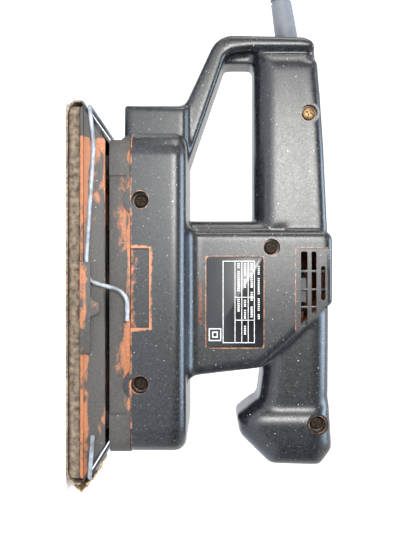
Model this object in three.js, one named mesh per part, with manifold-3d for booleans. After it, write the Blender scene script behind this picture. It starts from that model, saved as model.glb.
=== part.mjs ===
// Third-sheet orbital sander: clamshell body with D grip and front knob, series motor on a
// vertical axis, eccentric, platen on rubber legs, wire paper clamps, mains lead with plug.
// Millimetres. +X is the front (knob), +Z is up. The origin is the middle of the sanding face.

import * as THREE from 'three';
import * as BufferGeometryUtils from 'three/addons/utils/BufferGeometryUtils.js';
import Module from 'manifold-3d';

const wasm = await Module();
wasm.setup();

// ---------------------------------------------------------------- driving dimensions

const GAP = 0.3; // between pieces that touch
const FAR = 200; // further out than any piece
const WALL = 2.5; // housing wall
const ORBIT = 1; // orbit radius, so the motor axis stands this far behind the platen's middle
const MOTOR_X = -ORBIT;

// sanding face, pad and platen
const FACE_HALF_WIDTH = 46.5;
const PAPER = 0.9;
const PAD_BOTTOM = 1.1;
const PAD_TOP = 6.8;
const PLATEN_BOTTOM = 7;
const PLATEN_TOP = 18.5;
const PLATEN_TOE = 92.3; // half length at the bottom
const PLATEN_CREST = 74.2; // half length at the top
const PLATEN_HALF_WIDTH = 44;
const PLATEN_FLOOR = 3;
const PLATEN_RIM = 3;
const FLANGE_TOP = 8.3;

// skirt
const SKIRT_BOTTOM = 20.5;
const SKIRT_FLOOR = 2.5;
const SKIRT_REAR = -76;
const SKIRT_FRONT = 79.3;
const SKIRT_HALF_WIDTH = 42.6;
const SKIRT_TOP = 30.8;
const SKIRT_LIP_TOP = 34;
const SKIRT_STEP_REAR = -57; // the sides stand back a little between these
const SKIRT_STEP_FRONT = 59.5;
const SKIRT_STEP_DEPTH = 1;

// clamshell
const BASE_BOTTOM = 31;
const BASE_TOP = 58;
const BASE_HALF_LENGTH = 79.3;
const BASE_HALF_WIDTH = 44;
const MOTOR_HALF_WIDTH = 32;
const GRIP_HALF_WIDTH = 17.5;
const KNOB_HALF_WIDTH = 24;
const TAIL_HALF_WIDTH = 20;
const NOTCH_REAR = -21.5; // the hollow for a clamp lever's end
const NOTCH_FRONT = 17.3;
const NOTCH_TOP = 40;
const NOTCH_DEPTH = 2.5;

// drive train, each level measured up from the sanding face
const SHAFT_RADIUS = 4;
const PIN_RADIUS = 3.7;
const BEARING_OUTER = 11;
const BEARING_HEIGHT = 7;
const PAD_BEARING_Z = 10.4;
const LOWER_BEARING_Z = 30.5;
const UPPER_BEARING_Z = 114;
const UPPER_BEARING_OUTER = 9.5;
const UPPER_BEARING_HEIGHT = 6;
const HUB_Z = 19.3;
const HUB_TOP = 29.8;
const FAN_Z = 42;
const FAN_RADIUS = 31;
const STACK_Z = 64;
const STACK_HEIGHT = 26;
const ARMATURE_RADIUS = 14.6;
const FIELD_HALF = 26;
const COIL_INNER_X = 14.5;
const COIL_THICKNESS = 5.5;
const COIL_HALF_WIDTH = 22;
const COMMUTATOR_Z = 101.5;
const COMMUTATOR_HEIGHT = 9;
const COMMUTATOR_RADIUS = 9;
const LEG_X = 64;
const LEG_Y = 29;
const LEG_RADIUS = 6;

// clamp wires, given for the rear one: the front one is the same wire turned half round
const WIRE_RADIUS = 1.1;
const WIRE_Y = -45.6;
const CLAMP_BAR_FRONT = [-15, 9.7];
const CLAMP_BAR_REAR = [-71.3, 13.4];
const CLAMP_CROSS = [-90.2, 11.3];
const CATCH = { x0: -14.7, x1: 29, top: 12, tooth: [2.2, 5.4, 9.4, 11.8], toothTop: 16.5, stand: 1.7 };

// screws through the clamshell: place of the axis, where the outside face is, boss and counterbore
const SCREWS = [
  { name: 'screw_grip', x: -93, z: 121.2, face: GRIP_HALF_WIDTH, boss: 5, seat: 3.4 },
  { name: 'screw_motor', x: -22.4, z: 100.5, face: MOTOR_HALF_WIDTH, boss: 5.5, seat: 7 },
  { name: 'screw_knob', x: 68, z: 124.7, face: KNOB_HALF_WIDTH, boss: 5.5, seat: 7 },
  { name: 'screw_base_rear', x: -45, z: 35.5, face: BASE_HALF_WIDTH, boss: 8, seat: 9 },
  { name: 'screw_base_front', x: 45, z: 35.5, face: BASE_HALF_WIDTH, boss: 8, seat: 9 },
];
const SCREW_HEAD_RADIUS = 3.4;
const SCREW_HEAD_HEIGHT = 2.4;
const SCREW_RADIUS = 1.8;
const SCREW_REACH = 12;
const COUNTERBORE_RADIUS = 4.3;

// rating plate recess and vents in the motor housing sides
const LABEL = { x0: -17.8, x1: 28, z0: 67.7, z1: 96.5, depth: 1.1, thick: 0.6 };
const VENT_PANEL = { x0: -22, x1: 21, z0: 112.7, z1: 130, depth: 1 };
const VENTS = [
  { x0: -20.3, x1: 17.5, z0: 115.3, z1: 118.6 },
  { x0: -20.3, x1: 11, z0: 120.6, z1: 123.1 },
  { x0: -13, x1: 4, z0: 125.4, z1: 127.6 },
];

// switch in the top of the grip
const SWITCH_X = -48;
const SWITCH_HALF_LENGTH = 9;
const SWITCH_HALF_WIDTH = 5;
const SWITCH_PIVOT_Z = 125.5;
const SWITCH_BODY_Z = 104;

// mains lead
const CORD_RADIUS = 3.5;
const GUARD_START = [-125, 112.8];
const GUARD_DIRECTION = [-0.989, -0.148];
const GUARD_LENGTH = 65.6;
const GUARD_RADIUS = 6;
const GUARD_TIP_RADIUS = 4.6;
const COIL_CENTRE = [-197, -45];
const COIL_MEAN_RADIUS = 38.5;
const COIL_BUNDLE = 21; // width and height of the bundle of turns
const CORD_POINTS = [ // from the tip of the guard down to the coil
  [-206, 0, 99.6],
  [-223, 0, 91.5],
  [-237, -0.5, 78],
  [-246, -3, 60],
  [-250, -9, 41],
  [-250.5, -18.5, 22],
  [-250.3, -32, 8.4],
  [-250, -46, 3.7],
];
const CORD_TAIL_START = 200; // degrees round the coil, where the last of the cord climbs on top
const PLUG = {
  angle: 262, length: 36, width: 27, height: 14, pinRadius: 2.4, pinLength: 19, pinSpacing: 19,
};

// ---------------------------------------------------------------- materials

const finish = (color, roughness, metalness) => () =>
  new THREE.MeshStandardMaterial({ color, roughness, metalness });
const charcoal = finish(0x3f3f44, 0.5, 0);
const orange = finish(0xc9713c, 0.5, 0);
const blackPlastic = finish(0x1f1f22, 0.45, 0);
const rubber = finish(0x2a2a2c, 0.85, 0);
const steel = finish(0x9a9ca0, 0.35, 1);
const galvanised = finish(0x8c8f94, 0.45, 0.9);
const brass = finish(0xb89a55, 0.35, 1);
const copper = finish(0x9c5a2e, 0.4, 0.9);
const aluminium = finish(0xa8abb0, 0.45, 0.9);
const laminations = finish(0x5b5d61, 0.5, 0.8);
const carbon = finish(0x262626, 0.7, 0.2);
const foam = finish(0x6b6259, 0.95, 0);
const grit = finish(0x6d5a4c, 1, 0);
const felt = finish(0x9b8568, 1, 0);
const paperLabel = finish(0x17171a, 0.4, 0);
const yellowPlastic = finish(0xc2a23a, 0.6, 0);
const liveInsulation = finish(0x6b3a22, 0.5, 0);
const neutralInsulation = finish(0x2d5fa8, 0.5, 0);

// ---------------------------------------------------------------- solids

// A closed solid from a three.js geometry.
function solid(geometry) {
  const bare = geometry.index ? geometry.toNonIndexed() : geometry.clone();
  bare.deleteAttribute('normal');
  bare.deleteAttribute('uv');
  const merged = BufferGeometryUtils.mergeVertices(bare, 1e-4);
  return new wasm.Manifold(new wasm.Mesh({
    numProp: 3,
    vertProperties: new Float32Array(merged.attributes.position.array),
    triVerts: new Uint32Array(merged.index.array),
  }));
}

function geometryOf(body) {
  const mesh = body.getMesh();
  const geometry = new THREE.BufferGeometry();
  geometry.setAttribute('position', new THREE.BufferAttribute(mesh.vertProperties, 3));
  geometry.setIndex(new THREE.BufferAttribute(mesh.triVerts, 1));
  geometry.computeVertexNormals();
  return geometry;
}

const join = (first, ...others) => others.reduce((whole, piece) => whole.add(piece), first);
const cut = (first, ...others) => others.reduce((whole, piece) => whole.subtract(piece), first);

function box(x0, x1, y0, y1, z0, z1) {
  const geometry = new THREE.BoxGeometry(x1 - x0, y1 - y0, z1 - z0);
  geometry.translate((x0 + x1) / 2, (y0 + y1) / 2, (z0 + z1) / 2);
  return solid(geometry);
}

// A cylinder standing on z0.
function rodZ(x, y, radius, z0, z1, sides = 18) {
  const geometry = new THREE.CylinderGeometry(radius, radius, z1 - z0, sides);
  geometry.rotateX(Math.PI / 2);
  geometry.translate(x, y, (z0 + z1) / 2);
  return solid(geometry);
}

// A cylinder along Y.
function rodY(x, z, radius, y0, y1, sides = 16) {
  const geometry = new THREE.CylinderGeometry(radius, radius, y1 - y0, sides);
  geometry.translate(x, (y0 + y1) / 2, z);
  return solid(geometry);
}

// A closed outline through corners [x, y, radius], each corner rounded by a curve.
function roundedShape(corners) {
  const points = corners.map(([x, y]) => new THREE.Vector2(x, y));
  const shape = new THREE.Shape();
  corners.forEach(([, , radius = 0], i) => {
    const here = points[i];
    const before = points[(i + points.length - 1) % points.length].clone().sub(here);
    const after = points[(i + 1) % points.length].clone().sub(here);
    const setback = Math.min(radius, before.length() / 2, after.length() / 2);
    const start = here.clone().add(before.setLength(setback));
    const end = here.clone().add(after.setLength(setback));
    if (i === 0) {
      shape.moveTo(start.x, start.y);
    } else {
      shape.lineTo(start.x, start.y);
    }
    if (radius > 0) {
      shape.quadraticCurveTo(here.x, here.y, end.x, end.y);
    }
  });
  shape.closePath();
  return shape;
}

// The same corners with every side moved inwards by distance, and the radii changed to suit.
function offsetCorners(corners, distance) {
  const points = corners.map(([x, y]) => new THREE.Vector2(x, y));
  const turning = THREE.ShapeUtils.area(points) > 0 ? 1 : -1;
  return corners.map(([x, y, radius = 0], i) => {
    const before = points[i].clone().sub(points.at(i - 1)).normalize();
    const after = points[(i + 1) % points.length].clone().sub(points[i]).normalize();
    const inwards = (d) => new THREE.Vector2(-d.y, d.x).multiplyScalar(turning);
    const first = inwards(before);
    const second = inwards(after);
    const move = first.clone().add(second).multiplyScalar(distance / (1 + first.dot(second)));
    const bulges = before.cross(after) * turning > 0;
    const moved = bulges ? Math.max(radius - distance, 0) : radius + distance;
    return [x + move.x, y + move.y, radius > 0 ? moved : 0];
  });
}

// An outline drawn in X and Z, made halfWidth thick to each side of the middle plane, its edges
// rounded by edge. With inset, every face lies that much further in.
function slab(outline, halfWidth, edge, inset = 0, holes = []) {
  const rounding = Math.max(edge - inset, 0.6);
  const shape = roundedShape(offsetCorners(outline, inset + rounding));
  shape.holes = holes.map((hole) => roundedShape(offsetCorners(hole, -inset - rounding)));
  const depth = 2 * (halfWidth - inset - rounding);
  const geometry = new THREE.ExtrudeGeometry(shape, {
    depth,
    bevelThickness: rounding,
    bevelSize: rounding,
    bevelSegments: edge > 4 ? 3 : 1,
    curveSegments: 3,
  });
  geometry.translate(0, 0, -depth / 2);
  geometry.rotateX(Math.PI / 2);
  return solid(geometry);
}

// An outline drawn in X and Y, standing from z0 to z1, with its edges rounded by edge.
function plate(outline, z0, z1, edge = 0, inset = 0) {
  const geometry = new THREE.ExtrudeGeometry(roundedShape(offsetCorners(outline, inset + edge)), {
    depth: z1 - z0 - 2 * edge,
    bevelEnabled: edge > 0,
    bevelThickness: edge,
    bevelSize: edge,
    bevelSegments: 2,
    curveSegments: 3,
  });
  geometry.translate(0, 0, z0 + edge);
  return solid(geometry);
}

function rectangle(x0, x1, y0, y1, radius = 0) {
  return [[x0, y0, radius], [x1, y0, radius], [x1, y1, radius], [x0, y1, radius]];
}

// A turned piece about the vertical line through x, from a closed profile of [radius, z].
function turned(profile, x = 0, y = 0, sides = 18) {
  const points = [...profile, profile[0]].map(([radius, z]) => new THREE.Vector2(radius, z));
  const geometry = new THREE.LatheGeometry(points, sides);
  geometry.rotateX(Math.PI / 2);
  geometry.translate(x, y, 0);
  return solid(geometry);
}

const ring = (inner, outer, z0, z1, x = 0, y = 0, sides = 18) =>
  turned([[inner, z0], [outer, z0], [outer, z1], [inner, z1]], x, y, sides);

// A round bar along a smooth line, with an even number of sides.
function tube(curve, radius, steps, sides) {
  const section = new THREE.Shape();
  section.absarc(0, 0, radius, 0, 2 * Math.PI);
  return solid(new THREE.ExtrudeGeometry(section, {
    steps,
    extrudePath: curve,
    curveSegments: sides / 2,
    bevelEnabled: false,
  }));
}

// A bent wire: straight runs with a bend of the given radius at each inner point.
function bentLine(points, bend) {
  const places = points.map((p) => new THREE.Vector3(...p));
  const path = new THREE.CurvePath();
  let from = places[0];
  for (let i = 1; i < places.length - 1; i += 1) {
    const here = places[i];
    const back = places[i - 1].clone().sub(here);
    const on = places[i + 1].clone().sub(here);
    const setback = Math.min(bend, back.length() / 2.2, on.length() / 2.2);
    const start = here.clone().add(back.setLength(setback));
    const end = here.clone().add(on.setLength(setback));
    path.add(new THREE.LineCurve3(from, start));
    path.add(new THREE.QuadraticBezierCurve3(start, here, end));
    from = end;
  }
  path.add(new THREE.LineCurve3(from, places[places.length - 1]));
  return path;
}

const turnedHalfRound = (body) => body.rotate([0, 0, 180]);

// ---------------------------------------------------------------- the object

const sander = new THREE.Group();

function add(name, body, material) {
  const mesh = new THREE.Mesh(geometryOf(body), material());
  mesh.name = name;
  sander.add(mesh);
}

// ---------------------------------------------------------------- clamshell

const gripOutline = [
  [-96, 34, 0], [-25, 34, 0], [-25, 131.8, 0], [-78, 129, 12], [-104, 127.2, 12],
  [-131.8, 124.5, 6], [-134.5, 74.5, 8], [-96, 57, 4],
];
const fingerOpening = [
  [-66, 58, 4], [-125, 78.5, 4], [-125, 92.5, 5], [-37, 92.5, 5], [-37, 58, 4],
];
const motorOutline = [
  [-31, 45, 0], [42.4, 45, 0], [42.4, 62, 3], [38.4, 95.6, 3], [5.5, 131.4, 3], [-31, 131.6, 3],
];
const knobOutline = [
  [-5, 99, 0], [42.5, 97.7, 0], [53.5, 96.5, 5], [62, 83.8, 6], [74, 84, 8],
  [90, 101, 8], [90.6, 127, 7], [83, 133.5, 8], [55, 131.8, 8], [-5, 131.8, 0],
];
const tailOutline = [[-97, 25, 2], [-96, 58, 5], [-74, 58, 0], [-74, 25, 0]];
const baseOutline = rectangle(
  -BASE_HALF_LENGTH, BASE_HALF_LENGTH, -BASE_HALF_WIDTH, BASE_HALF_WIDTH, 12,
);

// The solid body, or with inset the space inside it.
function bodyShape(inset) {
  const below = 8; // the base runs down past its lower edge before it is trimmed
  const base = plate(baseOutline, BASE_BOTTOM - below, BASE_TOP - inset, 6 - inset, inset);
  return join(
    base,
    slab(gripOutline, GRIP_HALF_WIDTH, 3, inset, [fingerOpening]),
    slab(motorOutline, MOTOR_HALF_WIDTH, 4, inset),
    slab(knobOutline, KNOB_HALF_WIDTH, 9, inset),
    slab(tailOutline, TAIL_HALF_WIDTH, 2, inset),
  );
}

// The hollow in the lower edge of each side for a clamp lever's end. With grow it is the block
// that gives the hollow its walls.
function leverNotch(grow) {
  const open = grow > 0 ? 0 : 1; // the hollow itself runs out past the faces it is cut from
  const notch = box(
    NOTCH_REAR - grow, NOTCH_FRONT + grow, -BASE_HALF_WIDTH + (open ? -open : GAP),
    -BASE_HALF_WIDTH + NOTCH_DEPTH + grow, BASE_BOTTOM - open, NOTCH_TOP + grow,
  );
  return join(notch, turnedHalfRound(notch));
}

// Slots through both side walls of the motor housing, in a shallow panel.
function ventCuts() {
  const outside = MOTOR_HALF_WIDTH + 1;
  const floor = MOTOR_HALF_WIDTH - VENT_PANEL.depth;
  const panel = [
    [VENT_PANEL.x0, VENT_PANEL.z0, 2], [VENT_PANEL.x1, VENT_PANEL.z0, 2],
    [VENT_PANEL.x1, VENT_PANEL.z0 + 3, 0], [VENT_PANEL.x1 - 14.5, VENT_PANEL.z1, 2],
    [VENT_PANEL.x0, VENT_PANEL.z1, 2],
  ];
  const through = box(-FAR, FAR, -floor, floor, 0, FAR);
  const slots = VENTS.map((v) => box(v.x0, v.x1, -outside, outside, v.z0, v.z1));
  return join(cut(slab(panel, outside, 0.6), through), ...slots);
}

function labelRecess() {
  return box(
    LABEL.x0, LABEL.x1, -MOTOR_HALF_WIDTH - 1, -MOTOR_HALF_WIDTH + LABEL.depth, LABEL.z0, LABEL.z1,
  );
}

// Ribs in the motor housing that hold the field core and the upper bearing bracket.
function motorRibs() {
  const reach = MOTOR_HALF_WIDTH - WALL / 2;
  const ribs = [];
  for (const side of [-1, 1]) {
    const outer = side * reach;
    const inner = side * (FIELD_HALF + GAP);
    const [y0, y1] = [Math.min(outer, inner), Math.max(outer, inner)];
    for (const x of [-18, 14]) {
      ribs.push(box(x - 1, x + 1, y0, y1, STACK_Z - 4, STACK_Z + STACK_HEIGHT + 2));
    }
  }
  return join(...ribs);
}

function clamshell() {
  const outside = bodyShape(0);
  const trim = box(
    SKIRT_REAR - 0.8, BASE_HALF_LENGTH + 5, -BASE_HALF_WIDTH - 5, BASE_HALF_WIDTH + 5,
    0, BASE_BOTTOM,
  );
  const bosses = SCREWS.map((s) => rodY(s.x, s.z, s.boss, -s.face + 0.05, s.face - 0.05));
  const shell = join(
    cut(outside, bodyShape(WALL), trim),
    leverNotch(WALL).intersect(outside),
    motorRibs().intersect(outside),
    ...bosses,
  );
  const counterbores = SCREWS.map((s) =>
    rodY(s.x, s.z, COUNTERBORE_RADIUS, -s.face - 1, -s.face + s.seat));
  const holes = SCREWS.map((s) =>
    rodY(s.x, s.z, SCREW_RADIUS + GAP, -s.face, SCREW_REACH + 1, 14));
  const rockerHole = box(
    SWITCH_X - SWITCH_HALF_LENGTH - GAP, SWITCH_X + SWITCH_HALF_LENGTH + GAP,
    -SWITCH_HALF_WIDTH - GAP, SWITCH_HALF_WIDTH + GAP, SWITCH_PIVOT_Z - 2, FAR,
  );
  return cut(
    shell, leverNotch(0), ventCuts(), labelRecess(), rockerHole, guardSolid(GAP),
    ...counterbores, ...holes,
  );
}

// ---------------------------------------------------------------- cord guard

// The moulded sleeve where the cord leaves the grip: a root collar inside the wall, then a taper.
function guardSolid(grow) {
  const tip = grow ? GUARD_RADIUS + grow : GUARD_TIP_RADIUS;
  const root = GUARD_RADIUS + grow;
  const collar = grow ? root : GUARD_RADIUS + 2.2;
  const start = grow ? -1 : 0;
  const profile = [
    [0, start], [collar, start], [collar, 3], [root, 3], [root, 14], [tip, GUARD_LENGTH],
    [0, GUARD_LENGTH],
  ];
  const geometry = new THREE.LatheGeometry(profile.map(([r, t]) => new THREE.Vector2(r, t)), 20);
  const along = new THREE.Vector3(GUARD_DIRECTION[0], 0, GUARD_DIRECTION[1]).normalize();
  geometry.applyQuaternion(
    new THREE.Quaternion().setFromUnitVectors(new THREE.Vector3(0, 1, 0), along),
  );
  geometry.translate(GUARD_START[0], 0, GUARD_START[1]);
  return solid(geometry);
}

const shell = clamshell();
add('housing_right', shell.intersect(box(-FAR, FAR, -FAR, -GAP / 2, -FAR, FAR)), charcoal);
add('housing_left', shell.intersect(box(-FAR, FAR, GAP / 2, FAR, -FAR, FAR)), charcoal);
add('cord_guard', guardSolid(0), rubber);

// ---------------------------------------------------------------- screws and rating plate

function crossHeadScrew(head, headHeight, shank, length) {
  const profile = [
    [0, 0], [head * 0.75, 0], [head, headHeight * 0.4], [head, headHeight], [shank, headHeight],
    [shank, length - shank], [0, length],
  ];
  const geometry = new THREE.LatheGeometry(profile.map(([r, t]) => new THREE.Vector2(r, t)), 18);
  const recess = headHeight * 0.6;
  return cut(
    solid(geometry),
    box(-head * 0.55, head * 0.55, -1, recess, -head * 0.13, head * 0.13),
    box(-head * 0.13, head * 0.13, -1, recess, -head * 0.55, head * 0.55),
  );
}

for (const s of SCREWS) {
  const headTop = -s.face + s.seat - SCREW_HEAD_HEIGHT - GAP / 2;
  const screw = crossHeadScrew(
    SCREW_HEAD_RADIUS, SCREW_HEAD_HEIGHT, SCREW_RADIUS, SCREW_REACH - headTop,
  );
  add(s.name, screw.translate([s.x, headTop, s.z]), brass);
}

const labelInner = -MOTOR_HALF_WIDTH + LABEL.depth - GAP / 3;
add('rating_plate', box(
  LABEL.x0 + GAP, LABEL.x1 - GAP, labelInner - LABEL.thick, labelInner,
  LABEL.z0 + GAP, LABEL.z1 - GAP,
), paperLabel);

// ---------------------------------------------------------------- skirt

function skirtBlock(grow, z0, z1) {
  return plate(rectangle(
    SKIRT_REAR - grow, SKIRT_FRONT + grow, -SKIRT_HALF_WIDTH - grow, SKIRT_HALF_WIDTH + grow, 9,
  ), z0, z1);
}

function baseSkirt() {
  const lipInset = BASE_HALF_WIDTH - WALL - GAP - SKIRT_HALF_WIDTH;
  const legHole = LEG_RADIUS + 2 * ORBIT + 0.5;
  const lipHalfLength = BASE_HALF_LENGTH - WALL - GAP;
  const lip = plate(rectangle(
    SKIRT_REAR + 3, lipHalfLength, -SKIRT_HALF_WIDTH - lipInset, SKIRT_HALF_WIDTH + lipInset, 12,
  ), SKIRT_TOP - 1, SKIRT_LIP_TOP);
  const space = plate(rectangle(
    SKIRT_REAR + 6, SKIRT_FRONT - 6, -SKIRT_HALF_WIDTH + 5, SKIRT_HALF_WIDTH - 5, 6,
  ), SKIRT_BOTTOM + SKIRT_FLOOR, SKIRT_LIP_TOP + 1);
  const middleStep = [-1, 1].map((side) => box(
    SKIRT_STEP_REAR, SKIRT_STEP_FRONT, side * SKIRT_HALF_WIDTH - SKIRT_STEP_DEPTH,
    side * SKIRT_HALF_WIDTH + SKIRT_STEP_DEPTH, SKIRT_BOTTOM - 1, SKIRT_TOP - 2,
  ));
  const legs = legPlaces();
  const cups = legs.map(([x, y]) => rodZ(x, y, legHole + 2, SKIRT_BOTTOM, SKIRT_LIP_TOP - 2));
  const cupHoles = legs.map(([x, y]) => rodZ(x, y, legHole, SKIRT_BOTTOM - 1, SKIRT_LIP_TOP - 4));
  const bossRoom = SCREWS.filter((s) => s.boss > 6).map((s) =>
    rodY(s.x, s.z, s.boss + GAP, -BASE_HALF_WIDTH, BASE_HALF_WIDTH));
  const tray = join(cut(join(skirtBlock(0, SKIRT_BOTTOM, SKIRT_TOP - GAP / 2), lip), space), ...cups);
  return cut(
    tray, ...middleStep, ...cupHoles, ...bossRoom, leverNotchClearance(),
    rodZ(MOTOR_X, 0, 13.5, SKIRT_BOTTOM - 1, SKIRT_BOTTOM + SKIRT_FLOOR + 1),
  );
}

// Room for the wall behind each lever hollow, which hangs inside the base.
function leverNotchClearance() {
  const grow = WALL + GAP;
  const room = box(
    NOTCH_REAR - grow, NOTCH_FRONT + grow, -BASE_HALF_WIDTH, -BASE_HALF_WIDTH + NOTCH_DEPTH + grow,
    BASE_BOTTOM - GAP, NOTCH_TOP,
  );
  return join(room, turnedHalfRound(room));
}

function legPlaces() {
  const places = [];
  for (const x of [-LEG_X, LEG_X]) {
    for (const y of [-LEG_Y, LEG_Y]) {
      places.push([x, y]);
    }
  }
  return places;
}

add('base_skirt', baseSkirt(), charcoal);
add('dust_seal', ring(15.5, 21, PLATEN_TOP + 0.1, SKIRT_BOTTOM - 0.15, MOTOR_X), felt);

// ---------------------------------------------------------------- platen, pad and sheet

function platenOutline(grow) {
  return [
    [-PLATEN_TOE - grow, PLATEN_BOTTOM, 1], [PLATEN_TOE + grow, PLATEN_BOTTOM, 1],
    [PLATEN_CREST + grow, PLATEN_TOP, 1], [-PLATEN_CREST - grow, PLATEN_TOP, 1],
  ];
}

// The catch that keeps a clamp lever in: a thin tab standing off the rim, with one tooth.
function clampCatch() {
  const y0 = -FACE_HALF_WIDTH - CATCH.stand;
  const y1 = WIRE_Y - WIRE_RADIUS - GAP;
  const tab = roundedShape([
    [CATCH.x0, PLATEN_BOTTOM], [CATCH.x1, PLATEN_BOTTOM], [CATCH.x1, CATCH.top],
    [CATCH.tooth[3], CATCH.top], [CATCH.tooth[2], CATCH.toothTop], [CATCH.tooth[1], CATCH.toothTop],
    [CATCH.tooth[0], CATCH.top], [CATCH.x0, CATCH.top],
  ]);
  const geometry = new THREE.ExtrudeGeometry(tab, { depth: y1 - y0, bevelEnabled: false });
  geometry.rotateX(Math.PI / 2);
  geometry.translate(0, y1, 0);
  return join(
    solid(geometry),
    box(CATCH.x0, CATCH.x1, y0, -PLATEN_HALF_WIDTH, PLATEN_BOTTOM, FLANGE_TOP),
  );
}

function platen() {
  const edge = 0.6;
  const inside = platenOutline(-2 * PLATEN_RIM).map(([x, z, r]) =>
    [x, z === PLATEN_BOTTOM ? PLATEN_BOTTOM + PLATEN_FLOOR : PLATEN_TOP + 5, r]);
  const flange = plate(rectangle(
    -PLATEN_TOE + 2, PLATEN_TOE - 2, -FACE_HALF_WIDTH, FACE_HALF_WIDTH, 3,
  ), PLATEN_BOTTOM, FLANGE_TOP);
  const tray = cut(
    join(slab(platenOutline(0), PLATEN_HALF_WIDTH, edge), flange),
    slab(inside, PLATEN_HALF_WIDTH - PLATEN_RIM, edge),
  );
  const hubTop = PLATEN_TOP - 0.5;
  const socketTop = PLATEN_BOTTOM + 8;
  const floorTop = PLATEN_BOTTOM + PLATEN_FLOOR;
  const sockets = legPlaces().map(([x, y]) => rodZ(x, y, LEG_RADIUS + 2, PLATEN_BOTTOM + 1, socketTop));
  const pockets = legPlaces().map(([x, y]) => rodZ(x, y, LEG_RADIUS + GAP, floorTop - 1, socketTop + 1));
  const ribs = [-34, 34].map((x) =>
    box(x - 1, x + 1, -PLATEN_HALF_WIDTH + 1, PLATEN_HALF_WIDTH - 1, floorTop - 1, socketTop));
  const catches = clampCatch();
  return cut(
    join(tray, ...sockets, ...ribs, rodZ(0, 0, 15, PLATEN_BOTTOM, hubTop), catches, turnedHalfRound(catches)),
    rodZ(0, 0, BEARING_OUTER + GAP / 2, PAD_BEARING_Z - 0.1, hubTop + 1),
    rodZ(0, 0, 8, PLATEN_BOTTOM - 1, PAD_BEARING_Z + 1),
    ...pockets,
  );
}

add('platen', platen(), orange);
const padEnd = PLATEN_TOE - 1.3;
add('backing_pad', slab([
  [3 - padEnd, PAD_BOTTOM, 0], [padEnd - 3, PAD_BOTTOM, 0], [padEnd, PAD_BOTTOM + 3, 1],
  [padEnd, PAD_TOP, 0], [-padEnd, PAD_TOP, 0], [-padEnd, PAD_BOTTOM + 3, 1],
], FACE_HALF_WIDTH - GAP, 0.6), foam);

// The sheet lies flat under the pad and turns up over both toes, under the clamp wires. At the
// front a torn tongue of it stands off the toe.
function sandingSheet() {
  const rise = PLATEN_TOP - 0.6;
  const under = GAP; // between the sheet and the sloping end of the platen
  const end = (sign, out) => [
    [sign * (PLATEN_TOE - 4 + out), PAPER - out],
    [sign * (PLATEN_TOE + 0.1 + out), 4 - out / 2],
    [sign * (PLATEN_TOE + under + out), PLATEN_BOTTOM],
    [sign * (PLATEN_CREST + 0.8 + under + out * 1.2), rise],
  ];
  const inner = [
    ...end(1, 0), [PLATEN_CREST, 2 * PLATEN_TOP], [-PLATEN_CREST, 2 * PLATEN_TOP],
    ...end(-1, 0).reverse(),
  ];
  const outer = [...end(1, PAPER), ...end(-1, PAPER).reverse()];
  const toe = PLATEN_TOE;
  const tongue = [[toe + 0.5, 3.1], [toe + 5.2, 7.4], [toe + 4.8, 8.2], [toe + 0.7, 6]];
  const flat = (outline, halfWidth) => {
    const depth = 2 * halfWidth;
    const geometry = new THREE.ExtrudeGeometry(roundedShape(outline), { depth, bevelEnabled: false });
    geometry.translate(0, 0, -depth / 2);
    geometry.rotateX(Math.PI / 2);
    return solid(geometry);
  };
  const sides = [-1, 1].map((side) => box(
    -FAR, FAR, side > 0 ? PLATEN_HALF_WIDTH : -FAR, side > 0 ? FAR : -PLATEN_HALF_WIDTH,
    PLATEN_BOTTOM - 0.2, FAR,
  ));
  return cut(
    join(flat(outer, FACE_HALF_WIDTH), flat(tongue, PLATEN_HALF_WIDTH - 4)),
    flat(inner, FACE_HALF_WIDTH + 1), ...sides,
  );
}
add('sanding_sheet', sandingSheet(), grit);

legPlaces().forEach(([x, y], i) => {
  const foot = PLATEN_BOTTOM + PLATEN_FLOOR - 1 + GAP / 2;
  const waist = LEG_RADIUS - 1.5;
  const top = SKIRT_LIP_TOP - 4 - GAP;
  const leg = turned([
    [0, foot], [LEG_RADIUS, foot], [LEG_RADIUS, foot + 6], [waist, foot + 9],
    [waist, top - 7], [LEG_RADIUS, top - 5], [LEG_RADIUS, top], [0, top],
  ], x, y, 16);
  add(`rubber_leg_${i + 1}`, leg, rubber);
});

// ---------------------------------------------------------------- clamp wires

function rearClampWire() {
  const far = -WIRE_Y;
  const line = bentLine([
    [13.8, WIRE_Y, 29.5], [2.7, WIRE_Y, 29.5], [-1.4, WIRE_Y, 25.7], [-3.4, WIRE_Y, 18],
    [-5.5, WIRE_Y, 11],
    [CLAMP_BAR_FRONT[0], WIRE_Y, CLAMP_BAR_FRONT[1]],
    [CLAMP_BAR_REAR[0], WIRE_Y, CLAMP_BAR_REAR[1]],
    [CLAMP_CROSS[0], WIRE_Y, CLAMP_CROSS[1]], [CLAMP_CROSS[0], far, CLAMP_CROSS[1]],
    [-69, far, 12.9],
  ], 3);
  return tube(line, WIRE_RADIUS, 90, 6);
}

const clampWire = rearClampWire();
add('rear_clamp_wire', clampWire, galvanised);
add('front_clamp_wire', turnedHalfRound(clampWire), galvanised);

// ---------------------------------------------------------------- motor and drive

function bearing(inner, outer, z0, height, x) {
  const race = (outer - inner) * 0.28;
  const dish = 0.5;
  return turned([
    [inner, z0], [inner + race, z0], [inner + race, z0 + dish], [outer - race, z0 + dish],
    [outer - race, z0], [outer, z0], [outer, z0 + height], [outer - race, z0 + height],
    [outer - race, z0 + height - dish], [inner + race, z0 + height - dish],
    [inner + race, z0 + height], [inner, z0 + height],
  ], x);
}

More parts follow.
